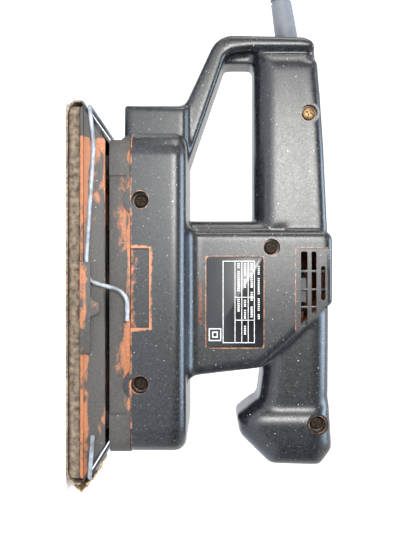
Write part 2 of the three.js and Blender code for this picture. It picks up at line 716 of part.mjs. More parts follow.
const shaftTop = UPPER_BEARING_Z + UPPER_BEARING_HEIGHT + 1;
const upperJournal = 3;
add('motor_shaft', turned([
  [0, HUB_Z + 2.3], [SHAFT_RADIUS, HUB_Z + 2.3], [SHAFT_RADIUS, UPPER_BEARING_Z - 1],
  [upperJournal, UPPER_BEARING_Z - 1], [upperJournal, shaftTop], [0, shaftTop],
], MOTOR_X), steel);
add('lower_bearing', bearing(SHAFT_RADIUS + GAP, BEARING_OUTER, LOWER_BEARING_Z, BEARING_HEIGHT, MOTOR_X), steel);
add('upper_bearing', bearing(
  upperJournal + GAP, UPPER_BEARING_OUTER, UPPER_BEARING_Z, UPPER_BEARING_HEIGHT, MOTOR_X,
), steel);
add('pad_bearing', bearing(PIN_RADIUS + GAP, BEARING_OUTER, PAD_BEARING_Z, BEARING_HEIGHT, 0), steel);

function bearingPlate() {
  const plateZ = LOWER_BEARING_Z + BEARING_HEIGHT - 1;
  const cup = BEARING_OUTER + 2.6;
  const web = plate(rectangle(
    MOTOR_X - 32, MOTOR_X + 33, -BASE_HALF_WIDTH + WALL + GAP, BASE_HALF_WIDTH - WALL - GAP, 4,
  ), plateZ, plateZ + 3);
  const windows = [-1, 1].map((side) => box(
    MOTOR_X - 24, MOTOR_X + 25, side > 0 ? 20 : -34, side > 0 ? 34 : -20, plateZ - 1, plateZ + 4,
  ));
  return cut(
    join(cut(web, ...windows), rodZ(MOTOR_X, 0, cup, LOWER_BEARING_Z - 0.3, plateZ + 3)),
    rodZ(MOTOR_X, 0, BEARING_OUTER + GAP / 2, LOWER_BEARING_Z - 1, LOWER_BEARING_Z + BEARING_HEIGHT + 0.1),
    rodZ(MOTOR_X, 0, SHAFT_RADIUS + 2, LOWER_BEARING_Z, plateZ + 4),
    leverNotchClearance(),
  );
}
add('bearing_plate', bearingPlate(), aluminium);

function bearingBracket() {
  const z0 = UPPER_BEARING_Z - 1.5;
  const reach = MOTOR_HALF_WIDTH - WALL - GAP;
  return cut(
    join(
      rodZ(MOTOR_X, 0, UPPER_BEARING_OUTER + 2.5, z0, UPPER_BEARING_Z + UPPER_BEARING_HEIGHT),
      box(MOTOR_X - 6, MOTOR_X + 6, -reach, reach, UPPER_BEARING_Z + 1, UPPER_BEARING_Z + 4),
    ),
    rodZ(MOTOR_X, 0, UPPER_BEARING_OUTER + GAP / 2, UPPER_BEARING_Z - 0.1, UPPER_BEARING_Z + 10),
    rodZ(MOTOR_X, 0, SHAFT_RADIUS + 1.5, z0 - 1, UPPER_BEARING_Z + 1),
  );
}
add('bearing_bracket', bearingBracket(), blackPlastic);

// The eccentric: a hub on the shaft, a pin a little off the motor axis and a half disc that
// balances the platen.
function eccentricHub() {
  const weightTop = HUB_TOP - 1.5;
  const weight = ring(8, 24, HUB_TOP - 6, weightTop, MOTOR_X)
    .intersect(box(-FAR, MOTOR_X - 2, -FAR, FAR, -FAR, FAR));
  return cut(
    join(
      rodZ(MOTOR_X, 0, 9.5, HUB_Z + SKIRT_FLOOR - 1, HUB_TOP), weight,
      rodZ(0, 0, 6.5, PAD_BEARING_Z + BEARING_HEIGHT + 0.3, HUB_Z + 3),
      rodZ(0, 0, PIN_RADIUS, PAD_BEARING_Z - 0.3, HUB_Z + 3),
    ),
    rodZ(MOTOR_X, 0, SHAFT_RADIUS + GAP, HUB_Z + 2, HUB_TOP + 1),
    rodZ(0, 0, 1.9, PAD_BEARING_Z - 1, PAD_BEARING_Z + 7, 12),
  );
}
add('eccentric_hub', eccentricHub(), steel);

const washerTop = PAD_BEARING_Z - 0.3 - 0.1;
add('bearing_washer', ring(1.9, 6.4, washerTop - 0.9, washerTop), steel);
const padScrewTop = washerTop - 1;
const padScrew = turned([
  [0, padScrewTop - 1.7], [3.6, padScrewTop - 1.7], [3.6, padScrewTop], [1.6, padScrewTop],
  [1.6, PAD_BEARING_Z + 6], [0, PAD_BEARING_Z + 6],
], 0, 0, 14);
add('bearing_screw', padScrew, steel);

function fan() {
  const top = FAN_Z + 10;
  const disc = rodZ(MOTOR_X, 0, FAN_RADIUS, FAN_Z, FAN_Z + 1.6, 30);
  const hub = rodZ(MOTOR_X, 0, 8, FAN_Z, top);
  const blades = [];
  for (let i = 0; i < 12; i += 1) {
    blades.push(box(13, FAN_RADIUS - 0.5, -0.8, 0.8, FAN_Z + 1, top)
      .rotate([0, 0, 30 * i]).translate([MOTOR_X, 0, 0]));
  }
  return cut(join(disc, hub, ...blades), rodZ(MOTOR_X, 0, SHAFT_RADIUS + GAP, FAN_Z - 1, top + 1));
}
add('cooling_fan', fan(), blackPlastic);

const stackTop = STACK_Z + STACK_HEIGHT;
const shaftBore = SHAFT_RADIUS + GAP;

function armatureCore() {
  const slots = [];
  for (let i = 0; i < 12; i += 1) {
    slots.push(box(ARMATURE_RADIUS - 4.5, ARMATURE_RADIUS + 1, -1, 1, STACK_Z - 1, stackTop + 1)
      .rotate([0, 0, 30 * i + 15]).translate([MOTOR_X, 0, 0]));
  }
  return cut(ring(shaftBore, ARMATURE_RADIUS, STACK_Z, stackTop, MOTOR_X, 0, 24), ...slots);
}
add('armature_core', armatureCore(), laminations);

function endWinding(z0, z1) {
  const bulge = ARMATURE_RADIUS - 1.1;
  const mid = (z0 + z1) / 2;
  return turned([
    [shaftBore + 1.5, z0], [bulge - 2, z0], [bulge, mid], [bulge - 2, z1], [shaftBore + 1.5, z1],
  ], MOTOR_X);
}
add('armature_winding_lower', endWinding(STACK_Z - 6.5, STACK_Z - 0.2), copper);
add('armature_winding_upper', endWinding(stackTop + 0.2, stackTop + 6.5), copper);

function fieldCore() {
  const slotGap = 0.2;
  const slots = [];
  for (const sx of [-1, 1]) {
    for (const sy of [-1, 1]) {
      const xs = [sx * (COIL_INNER_X - slotGap), sx * (COIL_INNER_X + COIL_THICKNESS + slotGap)];
      const ys = [sy * (COIL_HALF_WIDTH - 6 - slotGap), sy * (COIL_HALF_WIDTH + slotGap)];
      slots.push(box(
        MOTOR_X + Math.min(...xs), MOTOR_X + Math.max(...xs), Math.min(...ys), Math.max(...ys),
        STACK_Z - 1, stackTop + 1,
      ));
    }
  }
  const block = plate(rectangle(
    MOTOR_X - FIELD_HALF, MOTOR_X + FIELD_HALF, -FIELD_HALF, FIELD_HALF, 5,
  ), STACK_Z, stackTop);
  return cut(block, rodZ(MOTOR_X, 0, ARMATURE_RADIUS + 0.6, STACK_Z - 1, stackTop + 1, 36), ...slots);
}
add('field_core', fieldCore(), laminations);

function fieldCoil(side) {
  const xs = [side * COIL_INNER_X, side * (COIL_INNER_X + COIL_THICKNESS)].sort((a, b) => a - b);
  const [x0, x1] = xs.map((x) => x + MOTOR_X);
  return cut(
    box(x0, x1, -COIL_HALF_WIDTH, COIL_HALF_WIDTH, STACK_Z - 4.8, stackTop + 4.6),
    box(x0 - 1, x1 + 1, -COIL_HALF_WIDTH + 6, COIL_HALF_WIDTH - 6, STACK_Z - 0.3, stackTop + 0.3),
  );
}
add('field_coil_rear', fieldCoil(-1), copper);
add('field_coil_front', fieldCoil(1), copper);

function commutator() {
  const top = COMMUTATOR_Z + COMMUTATOR_HEIGHT;
  const slits = [];
  for (let i = 0; i < 12; i += 1) {
    slits.push(box(COMMUTATOR_RADIUS - 0.7, COMMUTATOR_RADIUS + 1, -0.3, 0.3, COMMUTATOR_Z - 1, top + 1)
      .rotate([0, 0, 30 * i]).translate([MOTOR_X, 0, 0]));
  }
  return cut(ring(shaftBore, COMMUTATOR_RADIUS, COMMUTATOR_Z, top, MOTOR_X, 0, 24), ...slits);
}
add('commutator', commutator(), copper);

// Brush gear on both sides of the commutator, along Y.
const brushZ = COMMUTATOR_Z + COMMUTATOR_HEIGHT / 2;
const brushHalf = 3;

function alongY(side, near, far) {
  return side > 0 ? [near, far] : [-far, -near];
}

function brushHolder(side) {
  const [y0, y1] = alongY(side, 12, 27.5);
  const [i0, i1] = alongY(side, 11, 26);
  const outer = brushHalf + 1.3;
  const inner = brushHalf + GAP;
  const foot = alongY(side, 20, MOTOR_HALF_WIDTH - WALL - GAP);
  return cut(
    join(
      box(MOTOR_X - outer, MOTOR_X + outer, y0, y1, brushZ - outer, brushZ + outer),
      box(MOTOR_X - 9, MOTOR_X + 9, ...foot, brushZ - outer, brushZ - outer + 2),
    ),
    box(MOTOR_X - inner, MOTOR_X + inner, i0, i1, brushZ - inner, brushZ + inner),
  );
}

function brushSpring(side) {
  const turns = 4;
  class Helix extends THREE.Curve {
    getPoint(t, target = new THREE.Vector3()) {
      const angle = 2 * Math.PI * turns * t;
      const y = side * (20.9 + 4.3 * t);
      return target.set(MOTOR_X + 1.9 * Math.cos(angle), y, brushZ + 1.9 * Math.sin(angle));
    }
  }
  return tube(new Helix(), 0.35, turns * 7, 4);
}

for (const [side, word] of [[-1, 'right'], [1, 'left']]) {
  add(`brush_holder_${word}`, brushHolder(side), brass);
  const [y0, y1] = alongY(side, COMMUTATOR_RADIUS + 0.25, 20.3);
  add(`carbon_brush_${word}`, box(
    MOTOR_X - brushHalf, MOTOR_X + brushHalf, y0, y1, brushZ - brushHalf, brushZ + brushHalf,
  ), carbon);
  add(`brush_spring_${word}`, brushSpring(side), steel);
}

// ---------------------------------------------------------------- switch and wiring

// A see-saw rocker, its two flats meeting in a shallow valley below the top of the grip.
function rocker() {
  const end = SWITCH_HALF_LENGTH - 0.4;
  const profile = [
    [SWITCH_X - end, SWITCH_PIVOT_Z - 1, 0], [SWITCH_X, SWITCH_PIVOT_Z - 3.6, 3],
    [SWITCH_X + end, SWITCH_PIVOT_Z - 1, 0], [SWITCH_X + end, SWITCH_PIVOT_Z + 2.4, 0.8],
    [SWITCH_X, SWITCH_PIVOT_Z + 1.6, 0], [SWITCH_X - end, SWITCH_PIVOT_Z + 4, 0.8],
  ];
  return slab(profile, SWITCH_HALF_WIDTH - 0.2, 0.6);
}
add('switch_rocker', rocker(), blackPlastic);

const switchTop = SWITCH_PIVOT_Z - 6.2;
const switchBody = join(
  box(SWITCH_X - 11, SWITCH_X + 11, -7, 7, SWITCH_BODY_Z, switchTop),
  box(SWITCH_X - 7, SWITCH_X - 5.5, -3, 3, SWITCH_BODY_Z - 5, SWITCH_BODY_Z + 1),
  box(SWITCH_X + 5.5, SWITCH_X + 7, -3, 3, SWITCH_BODY_Z - 5, SWITCH_BODY_Z + 1),
);
add('switch_body', switchBody, blackPlastic);

const CAPACITOR_X = -83;
add('capacitor', slab([
  [CAPACITOR_X - 13, 98, 2], [CAPACITOR_X + 13, 98, 2], [CAPACITOR_X + 13, 113, 2],
  [CAPACITOR_X - 13, 113, 2],
], 5, 1), yellowPlastic);

const CLAMP_X = -113;
const clampZ = 110.5;
const clampBar = join(
  box(CLAMP_X - 4, CLAMP_X + 4, -13.5, 13.5, clampZ - 7.5, clampZ - 4.2),
  box(CLAMP_X - 4, CLAMP_X + 4, -6, 6, clampZ - 5, clampZ - 3.8),
);
add('cord_clamp', cut(
  clampBar,
  rodZ(CLAMP_X, -9.5, 1.9, clampZ - 9, clampZ - 3, 12), rodZ(CLAMP_X, 9.5, 1.9, clampZ - 9, clampZ - 3, 12),
), blackPlastic);
[-9.5, 9.5].forEach((y, i) => {
  const top = clampZ - 7.7;
  const clampScrew = turned([
    [0, top - 2], [2.6, top - 2], [2.8, top], [1.5, top], [1.5, top + 9], [0, top + 10],
  ], CLAMP_X, y, 14);
  add(`clamp_screw_${i + 1}`, clampScrew, brass);
});

// The sheathed end of the lead inside the grip, and the two insulated leads to the switch.
const leadIn = GUARD_START[0] + 1.7;
add('cord_inner_end', tube(new THREE.CatmullRomCurve3([
  new THREE.Vector3(leadIn, 0, GUARD_START[1]),
  new THREE.Vector3(CLAMP_X - 4, 0, clampZ + 0.3),
  new THREE.Vector3(CLAMP_X + 6, 0, clampZ),
]), CORD_RADIUS - 0.1, 6, 8), rubber);
for (const [side, word] of [[-1, 'live'], [1, 'neutral']]) {
  add(`lead_${word}`, tube(new THREE.CatmullRomCurve3([
    new THREE.Vector3(CLAMP_X + 7.6, side * 1.6, clampZ),
    new THREE.Vector3(CLAMP_X + 13, side * 7.6, clampZ - 1),
    new THREE.Vector3(-75, side * 8, clampZ - 2),
    new THREE.Vector3(SWITCH_X - 11.3, side * 4, clampZ + 1),
  ]), 1.2, 12, 4), side < 0 ? liveInsulation : neutralInsulation);
}

// ---------------------------------------------------------------- mains lead and plug

const guardTip = [
  GUARD_START[0] + GUARD_DIRECTION[0] * (GUARD_LENGTH + GAP), 0,
  GUARD_START[1] + GUARD_DIRECTION[1] * (GUARD_LENGTH + GAP),
];
const cordLine = new THREE.CatmullRomCurve3(
  [guardTip, ...CORD_POINTS].map((p) => new THREE.Vector3(...p)),
);
add('cord_run', tube(cordLine, CORD_RADIUS, 14, 10), rubber);

const [coilX, coilY] = COIL_CENTRE;
const coilTop = COIL_BUNDLE + 0.1;
const coilOuter = COIL_MEAN_RADIUS + COIL_BUNDLE / 2;
const coilInner = COIL_MEAN_RADIUS - COIL_BUNDLE / 2;
add('cord_coil', turned([
  [coilInner, 1], [coilInner + 1.5, 0.05], [coilOuter - 1.5, 0.05], [coilOuter, 1],
  [coilOuter, coilTop - 1], [coilOuter - 1.5, coilTop], [coilInner + 1.5, coilTop],
  [coilInner, coilTop - 1],
], coilX, coilY, 32), rubber);

function onCoil(degrees, z) {
  const angle = THREE.MathUtils.degToRad(degrees);
  return new THREE.Vector3(
    coilX + COIL_MEAN_RADIUS * Math.cos(angle), coilY + COIL_MEAN_RADIUS * Math.sin(angle), z,
  );
}

// The last of the cord lies on the coil and rises to the plug, which lies flat on the turns. The
// plug is drawn with its back over the coil's -Y side, then turned round the coil to its place.
const plugZ = coilTop + GAP / 2 + PLUG.height / 2;
const tailZ = coilTop + CORD_RADIUS + GAP / 2;
const plugBack = coilX;
const plugY = coilY - COIL_MEAN_RADIUS;
const plugTurn = PLUG.angle - 270;
const aroundCoil = (body) => body
  .translate([-coilX, -coilY, 0]).rotate([0, 0, plugTurn]).translate([coilX, coilY, 0]);

add('cord_tail', tube(new THREE.CatmullRomCurve3([
  onCoil(CORD_TAIL_START, tailZ),
  onCoil((CORD_TAIL_START + PLUG.angle) / 2, tailZ + 0.5),
  onCoil(PLUG.angle - 14, plugZ - 0.3),
  onCoil(PLUG.angle - 5.8, plugZ),
]), CORD_RADIUS, 8, 10), rubber);

function plugBody() {
  const halfWidth = PLUG.width / 2;
  const neck = 5;
  const outline = [
    [plugBack + PLUG.length, plugY - halfWidth, 3], [plugBack + PLUG.length, plugY + halfWidth, 3],
    [plugBack + 14, plugY + halfWidth, 8], [plugBack, plugY + neck, 3], [plugBack - 3, plugY + neck, 1],
    [plugBack - 3, plugY - neck, 1], [plugBack, plugY - neck, 3], [plugBack + 14, plugY - halfWidth, 8],
  ];
  const body = plate(outline, plugZ - PLUG.height / 2, plugZ + PLUG.height / 2, 2);
  const holes = [-1, 1].map((side) => pinRod(side, PLUG.pinRadius + GAP / 2, -5.2, 1));
  return cut(body, ...holes);
}

function pinRod(side, radius, from, to) {
  const geometry = new THREE.CylinderGeometry(radius, radius, to - from, 12);
  geometry.rotateZ(Math.PI / 2);
  geometry.translate(
    plugBack + PLUG.length + (from + to) / 2, plugY + side * PLUG.pinSpacing / 2, plugZ,
  );
  return solid(geometry);
}
add('plug_body', aroundCoil(plugBody()), rubber);
add('plug_pin_1', aroundCoil(pinRod(-1, PLUG.pinRadius, -5, PLUG.pinLength)), steel);
add('plug_pin_2', aroundCoil(pinRod(1, PLUG.pinRadius, -5, PLUG.pinLength)), steel);

export default sander;
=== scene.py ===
"""Looks for an orbital sander: skins, finishes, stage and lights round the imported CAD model.

Every piece is in metres in the CAD model's own frame: +X is the front, +Z is up, and the origin
is the middle of the sanding face. Sizes below are in millimetres and are turned to metres where
a mesh is made.
"""

import math

import bmesh
import bpy
import numpy as np
from mathutils import Matrix, Vector, noise


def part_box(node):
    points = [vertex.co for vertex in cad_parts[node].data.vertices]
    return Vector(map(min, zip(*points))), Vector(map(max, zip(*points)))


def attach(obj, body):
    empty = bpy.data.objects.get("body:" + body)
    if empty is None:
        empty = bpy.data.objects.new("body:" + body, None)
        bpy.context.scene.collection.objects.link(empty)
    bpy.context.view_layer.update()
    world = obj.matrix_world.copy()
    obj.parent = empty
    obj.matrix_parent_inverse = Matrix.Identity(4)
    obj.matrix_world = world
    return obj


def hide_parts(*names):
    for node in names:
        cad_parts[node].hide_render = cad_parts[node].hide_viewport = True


bl_info = {
    "name": "Orbital Sander",
    "version": (1, 0, 0),
    "blender": (4, 5, 0),
    "location": "3D View > Sidebar > Sander",
    "description": "Builds the pieces and finishes of an orbital sander on its CAD frame",
    "category": "Add Mesh",
}

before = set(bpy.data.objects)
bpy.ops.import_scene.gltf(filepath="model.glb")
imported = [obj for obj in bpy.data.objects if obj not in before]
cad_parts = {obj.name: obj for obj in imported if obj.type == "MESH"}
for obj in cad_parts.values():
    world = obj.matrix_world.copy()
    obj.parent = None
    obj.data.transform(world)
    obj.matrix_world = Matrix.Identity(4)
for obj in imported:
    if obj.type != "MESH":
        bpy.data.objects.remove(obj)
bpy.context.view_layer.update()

MM = 0.001

# Outlines of the clamshell in X and Z. The third value rounds a corner.
FRAME_OUTLINE = [
    (-97, 36, 0), (-97, 56.5, 3), (-134.2, 73.6, 8), (-133, 119, 0), (-131, 123.4, 0),
    (-126.4, 125.2, 0), (-126.4, 92.5, 0), (-125, 78.5, 4), (-66, 58, 2), (-58, 50, 0), (-58, 36, 0),
]
GRIP_OUTLINE = [
    (-128, 92.5, 0), (-25, 92.5, 0), (-25, 131.5, 0), (-78, 129, 0), (-104, 127.2, 0),
    (-128, 125.2, 0),
]
GRIP_TOP_OUTLINE = [
    (-121.5, 107, 0), (-25, 107, 0), (-25, 131.5, 0), (-78, 129, 0), (-104, 127.2, 0),
    (-121.5, 125.8, 0),
]
WEB_OUTLINE = [(-37, 50, 0), (-20, 50, 0), (-20, 104, 0), (-37, 104, 0)]
MOTOR_OUTLINE = [
    (-31, 45, 0), (42.4, 45, 0), (42.2, 62, 0), (38.4, 95.6, 0), (5.5, 131.4, 0), (-31, 131.5, 5),
]
NECK_OUTLINE = [
    (-5, 99, 0), (42, 97, 0), (54, 95.5, 0), (68, 92, 0), (68, 130, 0), (53, 131.6, 0), (-5, 131.8, 0),
]
KNOB_OUTLINE = [
    (57, 92.8, 0), (64.3, 83.4, 0), (74.5, 85.2, 0), (90, 101, 0), (90.8, 127, 0), (82, 133.4, 0),
    (57, 131.9, 0),
]
TAIL_OUTLINE = [(-96.5, 25.3, 0), (-96, 57.5, 0), (-74, 57.5, 0), (-74, 25.3, 0)]
BASE_HALF_LENGTH = 79.2
BASE_HALF_WIDTH = 43.9
BASE_BOTTOM = 31
BASE_TOP = 57.9
MOTOR_HALF_WIDTH = 31.9
GRIP_HALF_WIDTH = 17.4
NECK_HALF_WIDTH = 21.4
KNOB_HALF_WIDTH = 23.9
TAIL_HALF_WIDTH = 19.9
WALL = 2.5

# name, axis in X and Z, side face and depth of the screw seat
SCREWS = [
    ("screw_grip", -93, 121.2, 17.4, 3.4),
    ("screw_motor", -22.4, 100.5, 31.9, 7),
    ("screw_knob", 68, 124.7, 23.9, 7),
    ("screw_base_rear", -45, 35.5, 43.9, 9),
    ("screw_base_front", 45, 35.5, 43.9, 9),
]
SEAT_RADIUS, HOLE_RADIUS = 4.3, 2.1
BOSS_RADIUS, SMALL_BOSS_RADIUS = 8, 5.5
SCREW_PROFILE = [
    (0, 0), (1.9, 0.02), (2.7, 0.3), (3.25, 0.9), (3.4, 1.5), (3.4, 2.4), (1.8, 2.4), (1.8, 10), (0, 11),
]
NOTCH = (-21.5, 17.3, 25, 40)
NOTCH_DEPTH = 2.5
LABEL = (-17.8, 28, 67.7, 96.5)
LABEL_DEPTH = 1.1
LABEL_CORNER = 2
# each row of plain bars on the plate: its two heights, its start, then each group's length and gap
LABEL_ROWS = (
    (93.3, 94.6, -13, ((5, 1), (9, 1.2), (7, 1), (3, 1))),
    (89.7, 91.2, -14.4, ((4, 1), (8, 1.4), (5, 2.4), (6, 1))),
    (86.4, 87.8, -14.4, ((7, 1), (5, 5.4), (4, 1), (5, 3), (5, 1))),
    (83.1, 84.6, -14.4, ((3, 1), (11, 2), (8, 1))),
)
BAR_PITCH, BAR_WIDTH = 0.95, 0.5
VENT_PANEL = [(-22, 112.7, 2), (21, 112.7, 2), (21, 115.7, 1), (6.5, 130, 2), (-22, 130, 2)]
VENT_DEPTH = 1
VENTS = [(-20.3, 17.5, 115.3, 118.6), (-20.3, 11, 120.6, 123.1), (-13, 4, 125.4, 127.6)]
VENT_CORNER = 0.8
VENT_RIBS = [-10.4, -1.2, 7.6]
ROCKER_X, ROCKER_Z = -48, 125.5

# mains lead: the route from the tip of its guard to the coil, then the coil's own sizes
CORD_DOWN = [
    (-190.2, 0, 103), (-198, 0, 101.6), (-206, 0, 99.6), (-215, 0, 96.2), (-223, 0, 91.5),
    (-230.6, -0.1, 85.4), (-237, -0.5, 78), (-242.3, -1.4, 69.4), (-246, -3, 60),
    (-248.6, -5.4, 50.5), (-250, -9, 41), (-250.5, -13.2, 31.2), (-250.5, -18.5, 22),
    (-250.4, -24.6, 14.2), (-250.3, -32, 8.4),
]
GUARD_START, GUARD_ALONG = Vector((-125, 0, 112.8)), Vector((-0.989, 0, -0.148))
GUARD_LENGTH, GUARD_ROOT, GUARD_TIP = 65.6, 6.0, 4.6
COIL_CENTRE = (-197, -45)
COIL_RADII = (45.5, 38.5, 31.5)
COIL_LAYERS = (3.6, 10.6, 17.6)
POINTS_PER_TURN = 16
TAIL_START, TAIL_HEIGHT = 200, 24.9
PLUG_ANGLE, PLUG_HEIGHT = 262, 28.25

# the sheet's middle line in X and Z, from the middle of the pad to its front end
SHEET_LINE = ((0, 0.42), (86.5, 0.42), (90.2, 1.5), (92.6, 4.1), (92.9, 7.1), (76.6, 17.1))
# loose paper: name, line in X and Z, both sides in Y, seed of its raggedness, and how far it lifts
FLAPS = (
    ("torn_tip", ((92.9, 2.6), (95.2, 4.9), (96.8, 7.2), (94.4, 9.6)), -44, -6, 1, 1),
    ("torn_fold", ((93.2, 9.4), (90.2, 13.2), (86, 15.6), (81.5, 17.6)), -44, -30, 5, 1),
    ("rear_fold", ((-93, 7.6), (-85.4, 12.6), (-77.6, 17.4)), -44, -38, 9, 0.15),
)
FLAP_THICKNESS = 0.35

# clamp wire for the rear: the front one is the same wire turned half round
CLAMP_WIRE = [
    (13.8, -45.6, 29.5), (2.7, -45.6, 29.5), (-1.4, -45.6, 25.7), (-3.4, -45.6, 18),
    (-5.5, -45.6, 11), (-15, -45.6, 9.7), (-71.3, -45.6, 13.4), (-90.2, -45.6, 11.3),
    (-90.2, 45.6, 11.3), (-69, 45.6, 12.9),
]

# name, place, size in metres, power in watts and colour of each light
LIGHTS = (
    ("key", (-0.14, -0.62, 0.16), 0.2, 3.8, (1.0, 0.99, 0.96)),
    ("top", (-0.04, -0.12, 0.75), 0.4, 7.0, (0.6, 0.78, 1.0)),
    ("rear", (-0.65, -0.25, 0.2), 0.3, 2.5, (1.0, 0.98, 0.95)),
)


def linear(code):
    """A linear colour with full alpha from an sRGB hex number."""
    parts = [((code >> shift) & 255) / 255 for shift in (16, 8, 0)]
    return tuple(c / 12.92 if c <= 0.04045 else ((c + 0.055) / 1.055) ** 2.4 for c in parts) + (1.0,)


# ---------------------------------------------------------------- settings


class SanderSizes(bpy.types.PropertyGroup):
    """Sizes that may be changed before the pieces are made."""

    cord_diameter: bpy.props.FloatProperty(
        name="Lead diameter", description="Outside diameter of the mains lead",
        default=7 * MM, unit="LENGTH",
    )
    wire_diameter: bpy.props.FloatProperty(
        name="Clamp wire diameter", description="Diameter of the paper clamp wires",
        default=2.1 * MM, unit="LENGTH",
    )
    paper_thickness: bpy.props.FloatProperty(
        name="Sheet thickness", description="Thickness of the abrasive sheet with its grit",
        default=0.8 * MM, unit="LENGTH",
    )
    skin_detail: bpy.props.FloatProperty(
        name="Skin detail", description="Size of the faces in the moulded skins",
        default=1.0 * MM, unit="LENGTH",
    )


class SanderColours(bpy.types.PropertyGroup):
    """Colours of the finishes, linear."""

    paint: bpy.props.FloatVectorProperty(
        name="Charcoal paint", description="Colour of the sprayed outside",
        default=linear(0x1B1C1F), size=4, subtype="COLOR", min=0, max=1,
    )
    moulding: bpy.props.FloatVectorProperty(
        name="Orange moulding", description="Colour of the plastic under the paint",
        default=linear(0xBE7A50), size=4, subtype="COLOR", min=0, max=1,
    )
    grit: bpy.props.FloatVectorProperty(
        name="Abrasive", description="Colour of the clogged grit",
        default=linear(0x7A6A5A), size=4, subtype="COLOR", min=0, max=1,
    )
    backing: bpy.props.FloatVectorProperty(
        name="Paper backing", description="Colour of the torn paper backing",
        default=linear(0xCBA981), size=4, subtype="COLOR", min=0, max=1,
    )
    floor: bpy.props.FloatVectorProperty(
        name="Floor", description="Colour of the floor",
        default=linear(0xFBFBFB), size=4, subtype="COLOR", min=0, max=1,
    )


# ---------------------------------------------------------------- meshes


def flat_face(corners, upright=True):
    """A bmesh with one flat face through corners (a, b, radius), in X and Z, or in X and Y."""
    bm = bmesh.new()
    places = [(a, 0, b) if upright else (a, b, 0) for a, b, _ in corners]
    verts = [bm.verts.new(Vector(place) * MM) for place in places]
    bm.faces.new(verts)
    for vert, (_, _, radius) in zip(verts, corners):
        if radius > 0:
            bmesh.ops.bevel(
                bm, geom=[vert], offset=radius * MM, offset_type="OFFSET", segments=4,
                profile=0.5, affect="VERTICES", material=-1,
            )
    return bm


def rounded_end(bm, face, radius, steps, hollow=False):
    """Carries a flat end on outwards while it shrinks, along a quarter circle."""
    quarter = math.pi / 2
    for i in range(steps):
        here, there = quarter * i / steps, quarter * (i + 1) / steps
        shrink, rise = math.cos(here) - math.cos(there), math.sin(there) - math.sin(here)
        if hollow:
            shrink, rise = rise, shrink
        bmesh.ops.inset_region(
            bm, faces=[face], thickness=shrink * radius * MM, depth=rise * radius * MM,
            use_boundary=True, use_even_offset=True,
        )


def rectangle(a0, a1, b0, b1, radius):
    """The four corners of a rectangle, all rounded alike."""
    return [(a0, b0, radius), (a1, b0, radius), (a1, b1, radius), (a0, b1, radius)]


def prism(corners, low, high, rounding=0, steps=3, upright=True, both=True, hollow=False, inset=0):
    """A closed bmesh: an outline carried from low to high along Y, or along Z if not upright."""
    bm = flat_face(corners, upright)
    along = Vector((0, 1, 0)) if upright else Vector((0, 0, 1))
    if inset:
        face = bm.faces[:][0]
        rim = bmesh.ops.inset_region(
            bm, faces=[face], thickness=inset * MM, use_boundary=True, use_even_offset=True
        )["faces"]
        bmesh.ops.delete(bm, geom=rim, context="FACES")
    start = bm.faces[:][0]
    first = low + (rounding if both else 0)
    bmesh.ops.translate(bm, verts=bm.verts, vec=along * first * MM)
    far = bmesh.ops.extrude_face_region(bm, geom=[start], use_keep_orig=True)["geom"]
    moved = [item for item in far if isinstance(item, bmesh.types.BMVert)]
    end = next(item for item in far if isinstance(item, bmesh.types.BMFace))
    bmesh.ops.translate(bm, verts=moved, vec=along * (high - rounding - first) * MM)
    bmesh.ops.recalc_face_normals(bm, faces=bm.faces)
    if rounding:
        rounded_end(bm, end, rounding, steps, hollow)
        if both:
            rounded_end(bm, start, rounding, steps, hollow)
    bmesh.ops.recalc_face_normals(bm, faces=bm.faces)
    return bm


def block(x0, x1, y0, y1, z0, z1):
    """A closed box as a bmesh."""
    bm = bmesh.new()
    bmesh.ops.create_cube(bm, size=1)
    bmesh.ops.scale(bm, verts=bm.verts, vec=Vector((x1 - x0, y1 - y0, z1 - z0)) * MM)
    bmesh.ops.translate(bm, verts=bm.verts, vec=Vector((x0 + x1, y0 + y1, z0 + z1)) * MM / 2)
    return bm


def turned(profile, sides=48):
    """A closed piece of revolution round Z. Its profile is (radius, height) pairs, axis to axis."""
    bm = bmesh.new()
    verts = [bm.verts.new((radius * MM, 0, height * MM)) for radius, height in profile]
    edges = [bm.edges.new(pair) for pair in zip(verts, verts[1:])]
    bmesh.ops.spin(
        bm, geom=verts + edges, cent=(0, 0, 0), axis=(0, 0, 1), angle=2 * math.pi, steps=sides,
        use_merge=True,
    )
    bmesh.ops.remove_doubles(bm, verts=bm.verts, dist=0.001 * MM)
    bmesh.ops.recalc_face_normals(bm, faces=bm.faces)
    return bm


def placed(bm, matrix):
    """The bmesh after a transform."""
    bmesh.ops.transform(bm, matrix=matrix, verts=bm.verts)
    return bm


def rod(x, z, radius, y0, y1, sides=40):
    """A closed cylinder along Y as a bmesh."""
    bm = bmesh.new()
    turn = Matrix.Translation(Vector((x, (y0 + y1) / 2, z)) * MM) @ Matrix.Rotation(math.pi / 2, 4, "X")
    bmesh.ops.create_cone(
        bm, cap_ends=True, segments=sides, radius1=radius * MM, radius2=radius * MM,
        depth=(y1 - y0) * MM, matrix=turn,
    )
    return bm


def joined(shells):
    """One bmesh that holds several."""
    whole = bmesh.new()
    for shell in shells:
        mesh = bpy.data.meshes.new("shell")
        shell.to_mesh(mesh)
        shell.free()
        whole.from_mesh(mesh)
        bpy.data.meshes.remove(mesh)
    return whole


def new_piece(name, bm, materials=()):
    """An object at the origin from a bmesh, linked to the scene."""
    mesh = bpy.data.meshes.new(name)
    bm.to_mesh(mesh)
    bm.free()
    piece = bpy.data.objects.new(name, mesh)
    for material in materials:
        mesh.materials.append(material)
    bpy.context.scene.collection.objects.link(piece)
    return piece


